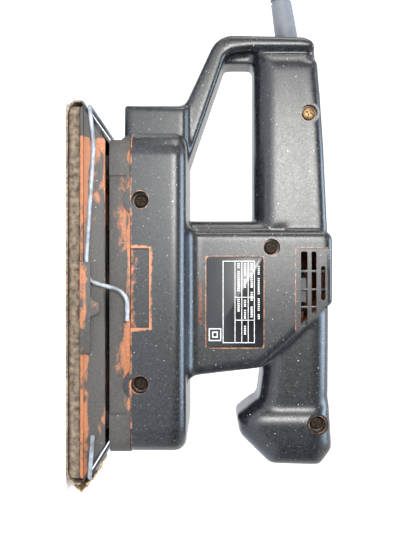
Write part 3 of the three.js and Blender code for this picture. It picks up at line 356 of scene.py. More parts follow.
def settle(piece):
    """Puts the result of a piece's modifiers into its mesh."""
    seen = piece.evaluated_get(bpy.context.evaluated_depsgraph_get())
    mesh = bpy.data.meshes.new_from_object(seen)
    piece.modifiers.clear()
    piece.data = mesh


def fused(name, shells, face_size, passes, materials=()):
    """One even skin round overlapping closed shells, its edges softened as a moulding's are."""
    piece = new_piece(name, joined(shells), materials)
    skin = piece.modifiers.new("skin", "REMESH")
    skin.mode = "VOXEL"
    skin.voxel_size = face_size
    soften = piece.modifiers.new("soften", "SMOOTH")
    soften.factor = 0.5
    soften.iterations = passes
    settle(piece)
    return piece


def combine(piece, shells, operation, inner=False):
    """Cuts, adds or keeps closed shells. The faces of an inner cut take the second material."""
    tool_mesh = joined(shells)
    for face in tool_mesh.faces:
        face.material_index = 1 if inner else 0
    tool = new_piece("tool", tool_mesh, piece.data.materials[:])
    change = piece.modifiers.new("change", "BOOLEAN")
    change.operation = operation
    change.solver = "MANIFOLD"
    change.object = tool
    before = len(piece.data.polygons)
    settle(piece)
    bpy.data.objects.remove(tool)
    if len(piece.data.polygons) in (0, before):
        raise RuntimeError(f"{piece.name}: {operation} changed nothing")


def creased(piece, degrees=32):
    """Smooth shading, broken at every edge sharper than the angle."""
    bm = bmesh.new()
    bm.from_mesh(piece.data)
    for face in bm.faces:
        face.smooth = True
    for edge in bm.edges:
        edge.smooth = edge.calc_face_angle(math.pi) < math.radians(degrees)
    bm.to_mesh(piece.data)
    bm.free()


def softened(piece, width, segments=2, degrees=35):
    """Rounds a piece's hard edges with a Bevel modifier and evens its shading."""
    round_off = piece.modifiers.new("round_off", "BEVEL")
    round_off.width = width * MM
    round_off.segments = segments
    round_off.limit_method = "ANGLE"
    round_off.angle_limit = math.radians(degrees)
    round_off.harden_normals = False
    settle(piece)
    creased(piece, 40)


def thickened(piece, thickness):
    """Gives an open sheet its thickness, half on each side, and evens its shading."""
    thicken = piece.modifiers.new("thicken", "SOLIDIFY")
    thicken.thickness = thickness
    thicken.offset = 0
    settle(piece)
    creased(piece, 60)


def copy_of(node):
    """A bmesh copy of a CAD node, with its loose triangles merged."""
    bm = bmesh.new()
    bm.from_mesh(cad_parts[node].data)
    bmesh.ops.remove_doubles(bm, verts=bm.verts, dist=0.002 * MM)
    for face in bm.faces:
        face.material_index = 0
    return bm


def bar_along(name, points, radius, materials, sides=4, cyclic=False):
    """A round bar along points in millimetres, as a mesh."""
    curve = bpy.data.curves.new(name, "CURVE")
    curve.dimensions = "3D"
    curve.bevel_depth = radius
    curve.bevel_resolution = sides
    curve.use_fill_caps = True
    spline = curve.splines.new("POLY")
    spline.points.add(len(points) - 1)
    for point, place in zip(spline.points, points):
        point.co = (*(Vector(place) * MM), 1)
    holder = bpy.data.objects.new(name, curve)
    bpy.context.scene.collection.objects.link(holder)
    seen = holder.evaluated_get(bpy.context.evaluated_depsgraph_get())
    mesh = bpy.data.meshes.new_from_object(seen)
    bpy.data.objects.remove(holder)
    piece = bpy.data.objects.new(name, mesh)
    bpy.context.scene.collection.objects.link(piece)
    mesh.materials.clear()
    for material in materials:
        mesh.materials.append(material)
    creased(piece, 50)
    return piece


def bent(points, bend, steps=6):
    """Points along straight runs with a round bend at every inner corner."""
    places = [Vector(p) for p in points]
    line = [places[0]]
    for before, here, after in zip(places, places[1:], places[2:]):
        back, on = before - here, after - here
        setback = min(bend, back.length / 2.2, on.length / 2.2)
        start, end = here + back.normalized() * setback, here + on.normalized() * setback
        for i in range(steps + 1):
            t = i / steps
            line.append((1 - t) ** 2 * start + 2 * t * (1 - t) * here + t * t * end)
    line.append(places[-1])
    return line


def paint_values(piece, name, values):
    """Stores one number per vertex for the finish to read."""
    layer = piece.data.attributes.new(name, "FLOAT", "POINT")
    layer.data.foreach_set("value", np.clip(values, 0, 1).astype(np.float32))


def places_of(piece):
    """The vertices' X, Y and Z in millimetres, as three arrays."""
    flat = np.empty(len(piece.data.vertices) * 3)
    piece.data.vertices.foreach_get("co", flat)
    return (flat.reshape(-1, 3) / MM).T


def from_rectangle(a, b, a0, a1, b0, b1):
    """Signed distance from a rectangle's edge, below zero inside."""
    da = np.abs(a - (a0 + a1) / 2) - (a1 - a0) / 2
    db = np.abs(b - (b0 + b1) / 2) - (b1 - b0) / 2
    return np.hypot(np.maximum(da, 0), np.maximum(db, 0)) + np.minimum(np.maximum(da, db), 0)


def near(distance, width):
    """One at no distance, falling smoothly to nothing over about twice the width."""
    return np.exp(-((distance / width) ** 2))


# ---------------------------------------------------------------- finishes


def add_node(tree, kind, settings=()):
    """Adds a node. A setting is a property, a socket's value, or another node's output to link."""
    node = tree.nodes.new(kind)
    for name, value in dict(settings).items():
        if isinstance(value, bpy.types.NodeSocket):
            tree.links.new(value, node.inputs[name])
        elif isinstance(name, str) and name in node.bl_rna.properties:
            setattr(node, name, value)
        else:
            node.inputs[name].default_value = value
    return node


MIX_FACTOR, MIX_FIRST, MIX_SECOND, MIX_RESULT = 0, 6, 7, 2


def start_finish(name, roughness, metallic=0.0):
    """A new material, its node tree, its shader and the object's own coordinates."""
    material = bpy.data.materials.new(name)
    material.use_nodes = True
    tree = material.node_tree
    shader = tree.nodes["Principled BSDF"]
    shader.inputs["Roughness"].default_value = roughness
    shader.inputs["Metallic"].default_value = metallic
    place = add_node(tree, "ShaderNodeTexCoord").outputs["Object"]
    return material, tree, shader, place


def per_metre(millimetres):
    """The texture scale at which one cell is this many millimetres."""
    return 1 / (millimetres * MM)


def mixed(tree, factor, first, second):
    """The output of a mix of two colours. Each is a colour or an output."""
    settings = {"data_type": "RGBA", MIX_FACTOR: factor, MIX_FIRST: first, MIX_SECOND: second}
    return add_node(tree, "ShaderNodeMix", settings).outputs[MIX_RESULT]


def worked_out(tree, operation, first, second):
    """The output of a sum on two numbers. Each is a number or an output."""
    settings = {"operation": operation, 0: first, 1: second}
    return add_node(tree, "ShaderNodeMath", settings).outputs["Value"]


def ranged(tree, value, low, high, to_low=0, to_high=1):
    """The output that carries a number from one range to another and holds it there."""
    settings = {"Value": value, "From Min": low, "From Max": high, "To Min": to_low, "To Max": to_high}
    return add_node(tree, "ShaderNodeMapRange", settings).outputs["Result"]


def cloud(tree, place, size, detail=2, **more):
    """The output of soft noise in patches of this many millimetres."""
    settings = {"Vector": place, "Scale": per_metre(size), "Detail": detail, **more}
    return add_node(tree, "ShaderNodeTexNoise", settings).outputs["Fac"]


def cells(tree, place, size):
    """A node of grains, each this many millimetres across."""
    return add_node(tree, "ShaderNodeTexVoronoi", {"Vector": place, "Scale": per_metre(size)})


def stretched(tree, place, scale):
    """The output of places scaled along X, Y and Z."""
    return add_node(tree, "ShaderNodeMapping", {"Vector": place, "Scale": scale}).outputs["Vector"]


def toned(colour, factor):
    """A colour made lighter or darker, no brighter than white."""
    return tuple(min(c * factor, 1) for c in colour[:3]) + (1,)


def raised(tree, shader, height, strength, depth):
    """Bumps the surface by a texture, up to a depth in millimetres."""
    settings = {"Height": height, "Strength": strength, "Distance": depth * MM}
    bump = add_node(tree, "ShaderNodeBump", settings)
    tree.links.new(bump.outputs["Normal"], shader.inputs["Normal"])


def grain_bump(tree, shader, place, size, strength, depth=0.05):
    """A fine even roughness of the surface."""
    raised(tree, shader, cloud(tree, place, size, 3), strength, depth)


def specks(tree, place, cell, radius, share):
    """Round spots of overspray: one in each cell at most, and only in a share of the cells."""
    grid = cells(tree, place, cell)
    spot = ranged(tree, grid.outputs["Distance"], radius / cell, 0.6 * radius / cell)
    split = add_node(tree, "ShaderNodeSeparateColor", {"Color": grid.outputs["Color"]})
    chosen = worked_out(tree, "LESS_THAN", split.outputs["Red"], share)
    return worked_out(tree, "MULTIPLY", spot, chosen)


def sprayed_abs():
    """Moulded ABS sprayed charcoal by hand: satin, with light specks, orange where it has worn.

    The grain of the spray is drawn in cells of 0.6 mm, as coarse as it has to be to show."""
    colours = bpy.context.scene.sander_colours
    material, tree, shader, place = start_finish("sprayed_abs_charcoal", 0.4)
    grains = cells(tree, place, 0.6)
    dust = add_node(tree, "ShaderNodeSeparateColor", {"Color": grains.outputs["Color"]})
    spread = worked_out(tree, "POWER", dust.outputs["Red"], 1.6)
    tone = mixed(tree, spread, toned(colours.paint, 0.35), toned(colours.paint, 2.1))
    for cell, radius, share in ((8, 0.38, 0.5), (3.4, 0.21, 0.8), (1.6, 0.13, 0.6)):
        tone = mixed(tree, specks(tree, place, cell, radius, share), tone, linear(0xE8E8E6))
    wear = add_node(tree, "ShaderNodeAttribute", {"attribute_name": "wear"}).outputs["Fac"]
    chips = cloud(tree, place, 3.2, 6, Roughness=0.65)
    bare = ranged(tree, worked_out(tree, "ADD", wear, chips), 0.93, 1.12)
    orange = mixed(tree, chips, linear(0x8A5A3C), tuple(colours.moulding))
    tone = mixed(tree, bare, tone, orange)
    dirt = add_node(tree, "ShaderNodeAttribute", {"attribute_name": "dirt"}).outputs["Fac"]
    tone = mixed(tree, dirt, tone, linear(0x4A3B30))
    tree.links.new(tone, shader.inputs["Base Color"])
    matt = ranged(tree, dust.outputs["Green"], 0, 1, 0.27, 0.35)
    tree.links.new(matt, shader.inputs["Roughness"])
    grain_bump(tree, shader, place, 0.45, 0.05, 0.02)
    return material


def bare_abs():
    """Moulded ABS, orange and unpainted: a dull satin with a few darker scuffs."""
    colours = bpy.context.scene.sander_colours
    material, tree, shader, place = start_finish("moulded_abs_orange", 0.55)
    tone = mixed(tree, cloud(tree, place, 9, 5), linear(0x9C5F3A), tuple(colours.moulding))
    tree.links.new(tone, shader.inputs["Base Color"])
    grain_bump(tree, shader, place, 0.8, 0.3)
    return material


def half_sprayed_abs(name, along, across, patch):
    """Orange ABS that caught the spray unevenly: black and orange patches with ragged borders.

    along lists (place along X in mm, share of orange), and across the same along Z."""
    colours = bpy.context.scene.sander_colours
    material, tree, shader, place = start_finish(name, 0.55)
    axes = add_node(tree, "ShaderNodeSeparateXYZ", {"Vector": place})
    shares = []
    for axis, stops in (("X", along), ("Z", across)):
        low, high = stops[0][0], stops[-1][0]
        run = ranged(tree, axes.outputs[axis], low * MM, high * MM)
        ramp = add_node(tree, "ShaderNodeValToRGB", {"Fac": run})
        band = ramp.color_ramp
        band.elements[0].color = (stops[0][1],) * 3 + (1,)
        band.elements[1].color = (stops[-1][1],) * 3 + (1,)
        for at, share in stops[1:-1]:
            band.elements.new((at - low) / (high - low)).color = (share,) * 3 + (1,)
        shares.append(ramp.outputs["Color"])
    patches = cloud(tree, stretched(tree, place, (0.4, 1, 1)), patch, 8, Roughness=0.68, Distortion=0.4)
    total = worked_out(tree, "ADD", worked_out(tree, "MULTIPLY", *shares), patches)
    dust = cloud(tree, place, 1.1, 3)
    paint = mixed(tree, dust, linear(0x1C1B1A), linear(0x55504A))
    plastic = mixed(tree, dust, linear(0x7E4C30), tuple(colours.moulding))
    tone = mixed(tree, ranged(tree, total, 0.97, 1.07), paint, plastic)
    tone = mixed(tree, specks(tree, place, 4.2, 0.26, 0.4), tone, linear(0xD8D4CC))
    tree.links.new(tone, shader.inputs["Base Color"])
    grain_bump(tree, shader, place, 0.9, 0.5, 0.1)
    return material


def clogged_grit():
    """Aluminium oxide paper clogged with wood dust: coarse and matt, pale grains on brown.

    The grit is drawn in cells of 1.2 mm, coarser than real grit, so that it shows."""
    colours = bpy.context.scene.sander_colours
    material, tree, shader, place = start_finish("aluminium_oxide_paper", 0.95)
    grains = cells(tree, place, 1.2).outputs["Distance"]
    shade = worked_out(tree, "MULTIPLY", grains, cloud(tree, place, 7, 6))
    spread = ranged(tree, shade, 0.08, 0.42)
    tone = mixed(tree, spread, toned(colours.grit, 0.45), toned(colours.grit, 2.1))
    tree.links.new(tone, shader.inputs["Base Color"])
    raised(tree, shader, grains, 0.9, 0.35)
    return material


def torn_backing():
    """Torn kraft paper backing: pale tan fibres, darker where it has been handled."""
    colours = bpy.context.scene.sander_colours
    material, tree, shader, place = start_finish("kraft_paper_torn", 0.9)
    fibre = cloud(tree, stretched(tree, place, (1, 0.3, 1)), 1.5, 8, Roughness=0.7)
    tone = mixed(tree, ranged(tree, fibre, 0.36, 0.62), linear(0x5C4C3E), tuple(colours.backing))
    tree.links.new(tone, shader.inputs["Base Color"])
    grain_bump(tree, shader, place, 1.2, 0.8, 0.2)
    return material


def mottled(name, dark, light, patch, roughness, metallic):
    """A finish of two close tones in soft patches over a fine grain."""
    material, tree, shader, place = start_finish(name, roughness, metallic)
    patches = cloud(tree, place, patch, 6)
    tone = mixed(tree, ranged(tree, patches, 0.35, 0.65), linear(dark), linear(light))
    tree.links.new(tone, shader.inputs["Base Color"])
    rough = ranged(tree, patches, 0.3, 0.7, roughness * 0.85, min(roughness * 1.2, 1))
    tree.links.new(rough, shader.inputs["Roughness"])
    grain_bump(tree, shader, place, 0.6, 0.25)
    return material


# name: dark and light tone, patch in mm, roughness, metallic. Each is the real material and process, except
# the dark screw finish, which is partly painted shade.
PLAIN_FINISHES = {
    "rubber_moulded_black": (0x26262A, 0x38383C, 6, 0.75, 0.0),  # matt, slightly greyed
    "pvc_sheath_grey": (0x4E5055, 0x6C6E74, 14, 0.45, 0.0),  # dusty, soft shine
    "pvc_moulded_black": (0x1E1E20, 0x2C2C2F, 9, 0.4, 0.0),  # satin plug body
    "nylon_moulded_black": (0x1A1A1C, 0x29292B, 5, 0.45, 0.0),  # satin, greasy
    "steel_ground": (0x8A8C90, 0xB4B6BA, 3, 0.3, 1.0),  # bright with fine lines
    "steel_wire_galvanised": (0x6C6E72, 0xA0A3A8, 4, 0.45, 0.5),  # dull spangled grey
    "steel_dust_and_painted_shade": (0x1E1812, 0x4A3A28, 1.2, 0.7, 0.3),  # deep seated heads: the dark is painted shade of their deep seats, the brown is dust
    "abs_moulded_brown": (0x3A2A22, 0x7A4C34, 1.4, 0.5, 0.0),  # raised bar, rubbed through
    "paper_sprayed_black": (0x1B1B1C, 0x4C4C50, 3, 0.5, 0.0),  # stiff with paint, a dull shine
    "steel_zinc_yellow": (0x6A5032, 0xB08A5C, 1.6, 0.45, 0.4),  # yellow passivated screws
    "copper_enamelled": (0x6B3418, 0x9C5426, 2, 0.35, 0.8),  # red-brown varnished wire
    "steel_laminated": (0x3C3D40, 0x56585B, 2, 0.5, 0.8),  # dark stacked sheet
    "aluminium_die_cast": (0x84878B, 0xA3A6AA, 8, 0.5, 0.9),  # grey cast skin
    "carbon_pressed": (0x1C1C1D, 0x2D2D2E, 1, 0.7, 0.0),  # matt black brush
    "eva_foam_worn": (0x463B32, 0x8A7965, 2.4, 0.95, 0.0),  # crumbly grey-brown edge
    "wool_felt_pressed": (0x8A6E4C, 0xB5956C, 2, 1.0, 0.0),  # tan, fibrous
    "foil_printed_black": (0x101012, 0x1B1B1F, 12, 0.24, 0.0),  # smooth shiny black
    "ink_printed_white": (0xCFCFCB, 0xF0F0EC, 1.5, 0.5, 0.0),  # worn white print
    "polyester_case_yellow": (0xA8841F, 0xC9A43C, 7, 0.4, 0.0),  # capacitor case
    "pvc_sleeve_brown": (0x54301E, 0x6F4430, 4, 0.4, 0.0),  # live lead
    "pvc_sleeve_blue": (0x24508C, 0x3A6CB0, 4, 0.4, 0.0),  # neutral lead
}

# what each CAD node that stays in sight, or inside, is finished with
INSIDE = {
    "steel_ground": [
        "motor_shaft", "lower_bearing", "upper_bearing", "pad_bearing", "eccentric_hub",
        "bearing_washer", "bearing_screw", "brush_spring_right", "brush_spring_left",
    ],
    "steel_zinc_yellow": ["clamp_screw_1", "clamp_screw_2", "brush_holder_right", "brush_holder_left"],
    "copper_enamelled": [
        "commutator", "armature_winding_lower", "armature_winding_upper", "field_coil_rear",
        "field_coil_front",
    ],
    "steel_laminated": ["armature_core", "field_core"],
    "aluminium_die_cast": ["bearing_plate"],
    "carbon_pressed": ["carbon_brush_right", "carbon_brush_left"],
    "nylon_moulded_black": ["switch_body", "bearing_bracket", "cooling_fan", "cord_clamp"],
    "rubber_moulded_black": [
        "rubber_leg_1", "rubber_leg_2", "rubber_leg_3", "rubber_leg_4", "cord_inner_end",
    ],
    "wool_felt_pressed": ["dust_seal"],
    "polyester_case_yellow": ["capacitor"],
    "pvc_sleeve_brown": ["lead_live"],
    "pvc_sleeve_blue": ["lead_neutral"],
}


def plain_finish(name):
    """One of the plain finishes, made once."""
    if name in bpy.data.materials:
        return bpy.data.materials[name]
    dark, light, patch, roughness, metallic = PLAIN_FINISHES[name]
    return mottled(name, dark, light, patch, roughness, metallic)


# ---------------------------------------------------------------- pieces


def make_stage():
    """Pale floor, camera and soft lights."""
    scene = bpy.context.scene
    scene.view_settings.view_transform = "Standard"
    camera = bpy.data.objects.new("camera", bpy.data.cameras.new("camera"))
    scene.collection.objects.link(camera)
    across, upwards, back = Vector((0, 0, 1)), Vector((-1, 0, 0)), Vector((0, -1, 0))
    turn = Matrix((across, upwards, back)).transposed().to_4x4()
    camera.matrix_world = Matrix.Translation(Vector((-6.0, -420, 69.6)) * MM) @ turn
    camera.data.lens = 49.8
    camera.data.clip_start = 0.01
    scene.camera = camera
    floor_mesh = bmesh.new()
    bmesh.ops.create_grid(floor_mesh, x_segments=1, y_segments=1, size=3)
    floor_finish, tree, shader, place = start_finish("painted_board_white", 0.9)
    white = tuple(scene.sander_colours.floor)
    tone = mixed(tree, cloud(tree, place, 300), white, toned(white, 0.98))
    tree.links.new(tone, shader.inputs["Base Color"])
    floor = new_piece("floor", floor_mesh, [floor_finish])
    world = bpy.data.worlds.new("soft_box")
    world.use_nodes = True
    tree = world.node_tree
    way = add_node(tree, "ShaderNodeTexCoord").outputs["Generated"]
    axes = add_node(tree, "ShaderNodeSeparateXYZ", {"Vector": way})
    open_side = worked_out(tree, "ADD", axes.outputs["Y"], axes.outputs["Z"])
    glow = ranged(tree, open_side, -0.2, 0.5, 0.22, 1.3)
    seen = add_node(tree, "ShaderNodeLightPath").outputs["Is Camera Ray"]
    level = worked_out(tree, "MAXIMUM", glow, seen)
    sky = tree.nodes["Background"]
    sky.inputs["Color"].default_value = (1.0, 1.0, 1.0, 1.0)
    tree.links.new(level, sky.inputs["Strength"])
    scene.world = world
    for name, place, size, power, colour in LIGHTS:
        data = bpy.data.lights.new(name, "AREA")
        data.size, data.energy, data.color = size, power, colour
        lamp = bpy.data.objects.new(name, data)
        lamp.location = place
        aim = Vector((-0.03, 0, 0.09)) - Vector(place)
        lamp.rotation_euler = aim.to_track_quat("-Z", "Y").to_euler()
        lamp.visible_camera = False
        scene.collection.objects.link(lamp)


def ease(t):
    """A smooth step from nothing to one."""
    t = min(max(t, 0), 1)
    return t * t * (3 - 2 * t)


def coil_place(turns):
    """The lead's place after this many turns of the coil, counted from the side it comes in on."""
    wind = [(0, 0), (1, 0), (2, 0), (2, 1), (1, 1), (0, 1), (0, 2)]
    step_from = 0.78
    whole = int(turns)
    ring_now, layer_now = wind[min(whole, len(wind) - 1)]
    ring_next, layer_next = wind[min(whole + 1, len(wind) - 1)]
    share = ease((turns - whole - step_from) / (1 - step_from))
    radius = COIL_RADII[ring_now] + (COIL_RADII[ring_next] - COIL_RADII[ring_now]) * share
    height = COIL_LAYERS[layer_now] + (COIL_LAYERS[layer_next] - COIL_LAYERS[layer_now]) * share
    if layer_next != layer_now:  # the turn that climbs leans away from its neighbours
        lean = 2.2 * math.sin(math.pi * share)
        radius += lean if ring_now == 0 else -lean
    radius += 7.4 * (1 - ease(turns / 0.2)) if turns < 0.2 else 0
    height += 1.2 * (1 - ease(turns / 0.12)) if turns < 0.12 else 0
    angle = math.pi + 2 * math.pi * turns
    return Vector((
        COIL_CENTRE[0] + radius * math.cos(angle), COIL_CENTRE[1] + radius * math.sin(angle), height,
    ))


def round_the_coil(degrees, radius, height):
    """A place over the coil."""
    angle = math.radians(degrees)
    return Vector((
        COIL_CENTRE[0] + radius * math.cos(angle), COIL_CENTRE[1] + radius * math.sin(angle), height,
    ))


def cord_route():
    """The whole lead from the guard to the plug, in millimetres."""
    route = [Vector(p) for p in CORD_DOWN]
    last_turn = 7 + (TAIL_START - 180) / 360 - 0.16
    count = int(last_turn * POINTS_PER_TURN)
    route += [coil_place(last_turn * i / count) for i in range(count + 1)]
    middle = COIL_RADII[1]
    rise = COIL_LAYERS[2] + 3.6
    route += [
        round_the_coil(TAIL_START - 36, (COIL_RADII[0] + middle) / 2 + 2.2, rise),
        round_the_coil(TAIL_START - 14, middle + 1, TAIL_HEIGHT),
        round_the_coil(TAIL_START + 8, middle, TAIL_HEIGHT + 0.2),
        round_the_coil((TAIL_START + PLUG_ANGLE) / 2, middle, TAIL_HEIGHT + 0.9),
        round_the_coil(PLUG_ANGLE - 14, middle, PLUG_HEIGHT - 0.3),
        round_the_coil(PLUG_ANGLE - 6, middle, PLUG_HEIGHT),
    ]
    return route


def guard_place():
    """The transform from the guard's own frame, root at the origin and tip along +Z."""
    turn = Vector((0, 0, 1)).rotation_difference(GUARD_ALONG.normalized())
    return Matrix.Translation(GUARD_START * MM) @ turn.to_matrix().to_4x4()


def make_guard():
    """Tapered sleeve where the lead leaves the grip, with flexing slots towards its tip."""
    length, root, tip = GUARD_LENGTH, GUARD_ROOT, GUARD_TIP
    profile = [(0, 0), (8.0, 0), (8.0, 2.8), (root, 3.0), (root, 14)]
    rings = 7
    for i in range(rings):
        at = 32 + i * 4.2
        here = root + (tip - root) * (at - 14) / (length - 14)
        profile += [(here, at - 1.0), (here - 0.7, at - 0.6), (here - 0.7, at + 0.6), (here, at + 1.0)]
    profile += [(tip + 0.1, length - 1.2), (tip - 0.5, length - 0.2), (0, length)]
    bm = placed(turned(profile), guard_place())
    guard = new_piece("lead_guard", bm, [plain_finish("pvc_sheath_grey")])
    creased(guard, 30)
    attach(guard, "housing")
    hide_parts("cord_guard")
    return guard


def plug_place():
    """The transform from the plug's own frame, cable end at the origin and pins along +X."""
    turn = math.radians(PLUG_ANGLE - 270)
    centre = Vector((COIL_CENTRE[0], COIL_CENTRE[1], 0)) * MM
    own = Matrix.Translation(Vector((0, -COIL_RADII[1], PLUG_HEIGHT)) * MM)
    return Matrix.Translation(centre) @ Matrix.Rotation(turn, 4, "Z") @ own


def make_plug():
    """Moulded two-pin plug: waisted body with finger grooves, and two pins."""
    outline = [
        (36, -13.5, 3), (36, 13.5, 3), (16, 13.5, 9), (4, 5.2, 4), (-3, 4.8, 0), (-3, -4.8, 0),
        (4, -5.2, 4), (16, -13.5, 9),
    ]
    body = new_piece(
        "plug_moulding", prism(outline, -7, 7, 2, 4, upright=False),
        [plain_finish("pvc_moulded_black"), plain_finish("pvc_moulded_black")],
    )
    grooves = [block(x, x + 1.1, -20, 20, 6.2, 9) for x in (18, 21, 24, 27)]
    grooves += [block(x, x + 1.1, -20, 20, -9, -6.2) for x in (18, 21, 24, 27)]
    combine(body, grooves, "DIFFERENCE")
    body.data.transform(plug_place())
    softened(body, 0.25)
    pins = []
    for i, side in enumerate((-1, 1)):
        profile = [(0, 0), (2.4, 0), (2.4, 17.8), (1.9, 18.7), (1.0, 19.2), (0, 19.3)]
        turn = Matrix.Rotation(math.pi / 2, 4, "Y")
        root = Matrix.Translation(Vector((35.7, 9.5 * side, 0)) * MM)
        bm = placed(turned(profile, 32), plug_place() @ root @ turn)
        pin = new_piece(f"plug_contact_{i + 1}", bm, [plain_finish("steel_ground")])
        creased(pin, 30)
        pins.append(pin)
    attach(body, "housing")
    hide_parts("plug_body")
    for i, pin in enumerate(pins):
        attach(pin, "housing")
        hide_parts(f"plug_pin_{i + 1}")
    return body, pins


def make_lead():
    """The mains lead as one curve, wound in a coil, with its guard and plug."""
    sizes = bpy.context.scene.sander_sizes
    points = cord_route()
    curve = bpy.data.curves.new("mains_lead", "CURVE")
    curve.dimensions = "3D"
    curve.bevel_depth = sizes.cord_diameter / 2
    curve.bevel_resolution = 4
    curve.resolution_u = 5
    curve.use_fill_caps = True
    spline = curve.splines.new("BEZIER")
    spline.bezier_points.add(len(points) - 1)
    for knot, place in zip(spline.bezier_points, points):
        knot.co = place * MM
        knot.handle_left_type = knot.handle_right_type = "AUTO"
    lead = bpy.data.objects.new("mains_lead", curve)
    curve.materials.append(plain_finish("pvc_sheath_grey"))
    bpy.context.scene.collection.objects.link(lead)
    guard = make_guard()
    body, pins = make_plug()
    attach(lead, "housing")
    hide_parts("cord_run", "cord_coil", "cord_tail")


def base_corners():
    """The base's outline in X and Y."""
    x, y = BASE_HALF_LENGTH, BASE_HALF_WIDTH
    return [(-x, -y, 12), (x, -y, 12), (x, y, 12), (-x, y, 12)]


def body_shells():
    """The closed shells that make up the clamshell's outside."""
    foot = [(-31, -32, 5), (42, -32, 5), (42, 32, 5), (-31, 32, 5)]
    spread = [(a + math.copysign(6, a), b + math.copysign(6, b), r + 4) for a, b, r in foot]
    return [
        prism(base_corners(), 24, BASE_TOP, 6, 5, upright=False, both=False),
        prism(spread, 56, 64, 6, 5, upright=False, both=False, hollow=True),
        prism(FRAME_OUTLINE, -GRIP_HALF_WIDTH, GRIP_HALF_WIDTH, 2.2, 3),
        block(-127, -120.8, -9, 9, 76, 100),
        prism(GRIP_OUTLINE, -GRIP_HALF_WIDTH, GRIP_HALF_WIDTH, 11, 6),
        prism(GRIP_TOP_OUTLINE, -GRIP_HALF_WIDTH, GRIP_HALF_WIDTH, 4, 4),
        prism(WEB_OUTLINE, -GRIP_HALF_WIDTH, GRIP_HALF_WIDTH, 6, 4),
        prism(MOTOR_OUTLINE, -MOTOR_HALF_WIDTH, MOTOR_HALF_WIDTH, 3.6, 4),
        prism(NECK_OUTLINE, -NECK_HALF_WIDTH, NECK_HALF_WIDTH, 9, 5),
        prism(KNOB_OUTLINE, -KNOB_HALF_WIDTH, KNOB_HALF_WIDTH, 11, 6),
        prism(TAIL_OUTLINE, -TAIL_HALF_WIDTH, TAIL_HALF_WIDTH, 2, 3),
    ]


def hollow_shells():
    """The spaces inside the clamshell, cut one after another because they meet."""
    inside = WALL + 0.1
    x, y = BASE_HALF_LENGTH - inside, BASE_HALF_WIDTH - inside
    base = [(-x, -y, 9), (x, -y, 9), (x, y, 9), (-x, y, 9)]
    motor = MOTOR_HALF_WIDTH - WALL
    return [
        prism(base, 20, BASE_TOP - inside, upright=False, both=False),
        prism(MOTOR_OUTLINE, -motor, motor, inset=WALL),
        block(-121, -20, -14.2, 14.2, 102.4, 122),
        block(-121, -20, -10, 10, 97.4, 124),
        block(0, 80, -12, 12, 106, 122),
    ]


def corner_trims():
    """What is left below the base at its rear corners, beside the tail block."""
    side = TAIL_HALF_WIDTH + 0.2
    return [block(-90, -76.8, y, y + 60, 0, BASE_BOTTOM) for y in (-side - 60, side)]


def soften_grips(piece):
    """Softens the knob with its neck, and the back of the D grip, much more than the rest."""
    x, _, z = places_of(piece)
    knob = np.clip((x - 30) / 16, 0, 1) * np.clip((z - 72) / 8, 0, 1)
    back = 0.5 * np.clip((-104 - x) / 10, 0, 1) * np.clip((z - 76) / 10, 0, 1)
    weight = np.maximum(knob, back)
    group = piece.vertex_groups.new(name="grips")
    for level in range(1, 5):
        chosen = np.nonzero((weight > (level - 1) / 4) & (weight <= level / 4))[0]
        group.add(chosen.tolist(), level / 4, "REPLACE")
    soften = piece.modifiers.new("soften", "SMOOTH")
    soften.factor = 0.5
    soften.iterations = 26
    soften.vertex_group = "grips"
    settle(piece)
    piece.vertex_groups.clear()


def side_recesses():
    """What is cut into the outside faces first, after the skin has been softened."""
    out = 8
    cutters = [
        rod(x, z, SEAT_RADIUS, -face - out, -face + seat) for _, x, z, face, seat in SCREWS
    ]
    x0, x1, z0, z1 = NOTCH
    wide = BASE_HALF_WIDTH
    cutters.append(block(x0, x1, -wide - out, -wide + NOTCH_DEPTH, z0, z1))
    cutters.append(block(-x1, -x0, wide - NOTCH_DEPTH, wide + out, z0, z1))
    face = MOTOR_HALF_WIDTH
    cutters.append(prism(rectangle(*LABEL, LABEL_CORNER), -face - out, -face + LABEL_DEPTH))
    for low, high in ((-face - out, -face + VENT_DEPTH), (face - VENT_DEPTH, face + out)):
        cutters.append(prism(VENT_PANEL, low, high))
    cutters.append(block(ROCKER_X - 9.3, ROCKER_X + 9.3, -5.3, 5.3, 121, 140))
    hole = GUARD_ROOT + 0.3
    cutters.append(placed(turned([(0, -2), (hole, -2), (hole, 30), (0, 30)], 40), guard_place()))
    return cutters


def through_holes():
    """What is cut from the recesses' floors: screw holes, and vent slots that end blind at +Y."""
    cutters = [rod(x, z, HOLE_RADIUS, -face, 12) for _, x, z, face, _ in SCREWS]
    face = MOTOR_HALF_WIDTH
    for slot in VENTS:
        corners = rectangle(*slot, VENT_CORNER)
        cutters.append(prism(corners, -face - 1, -face + 5))
        cutters.append(prism(corners, face - 2, face + 1))
    return cutters


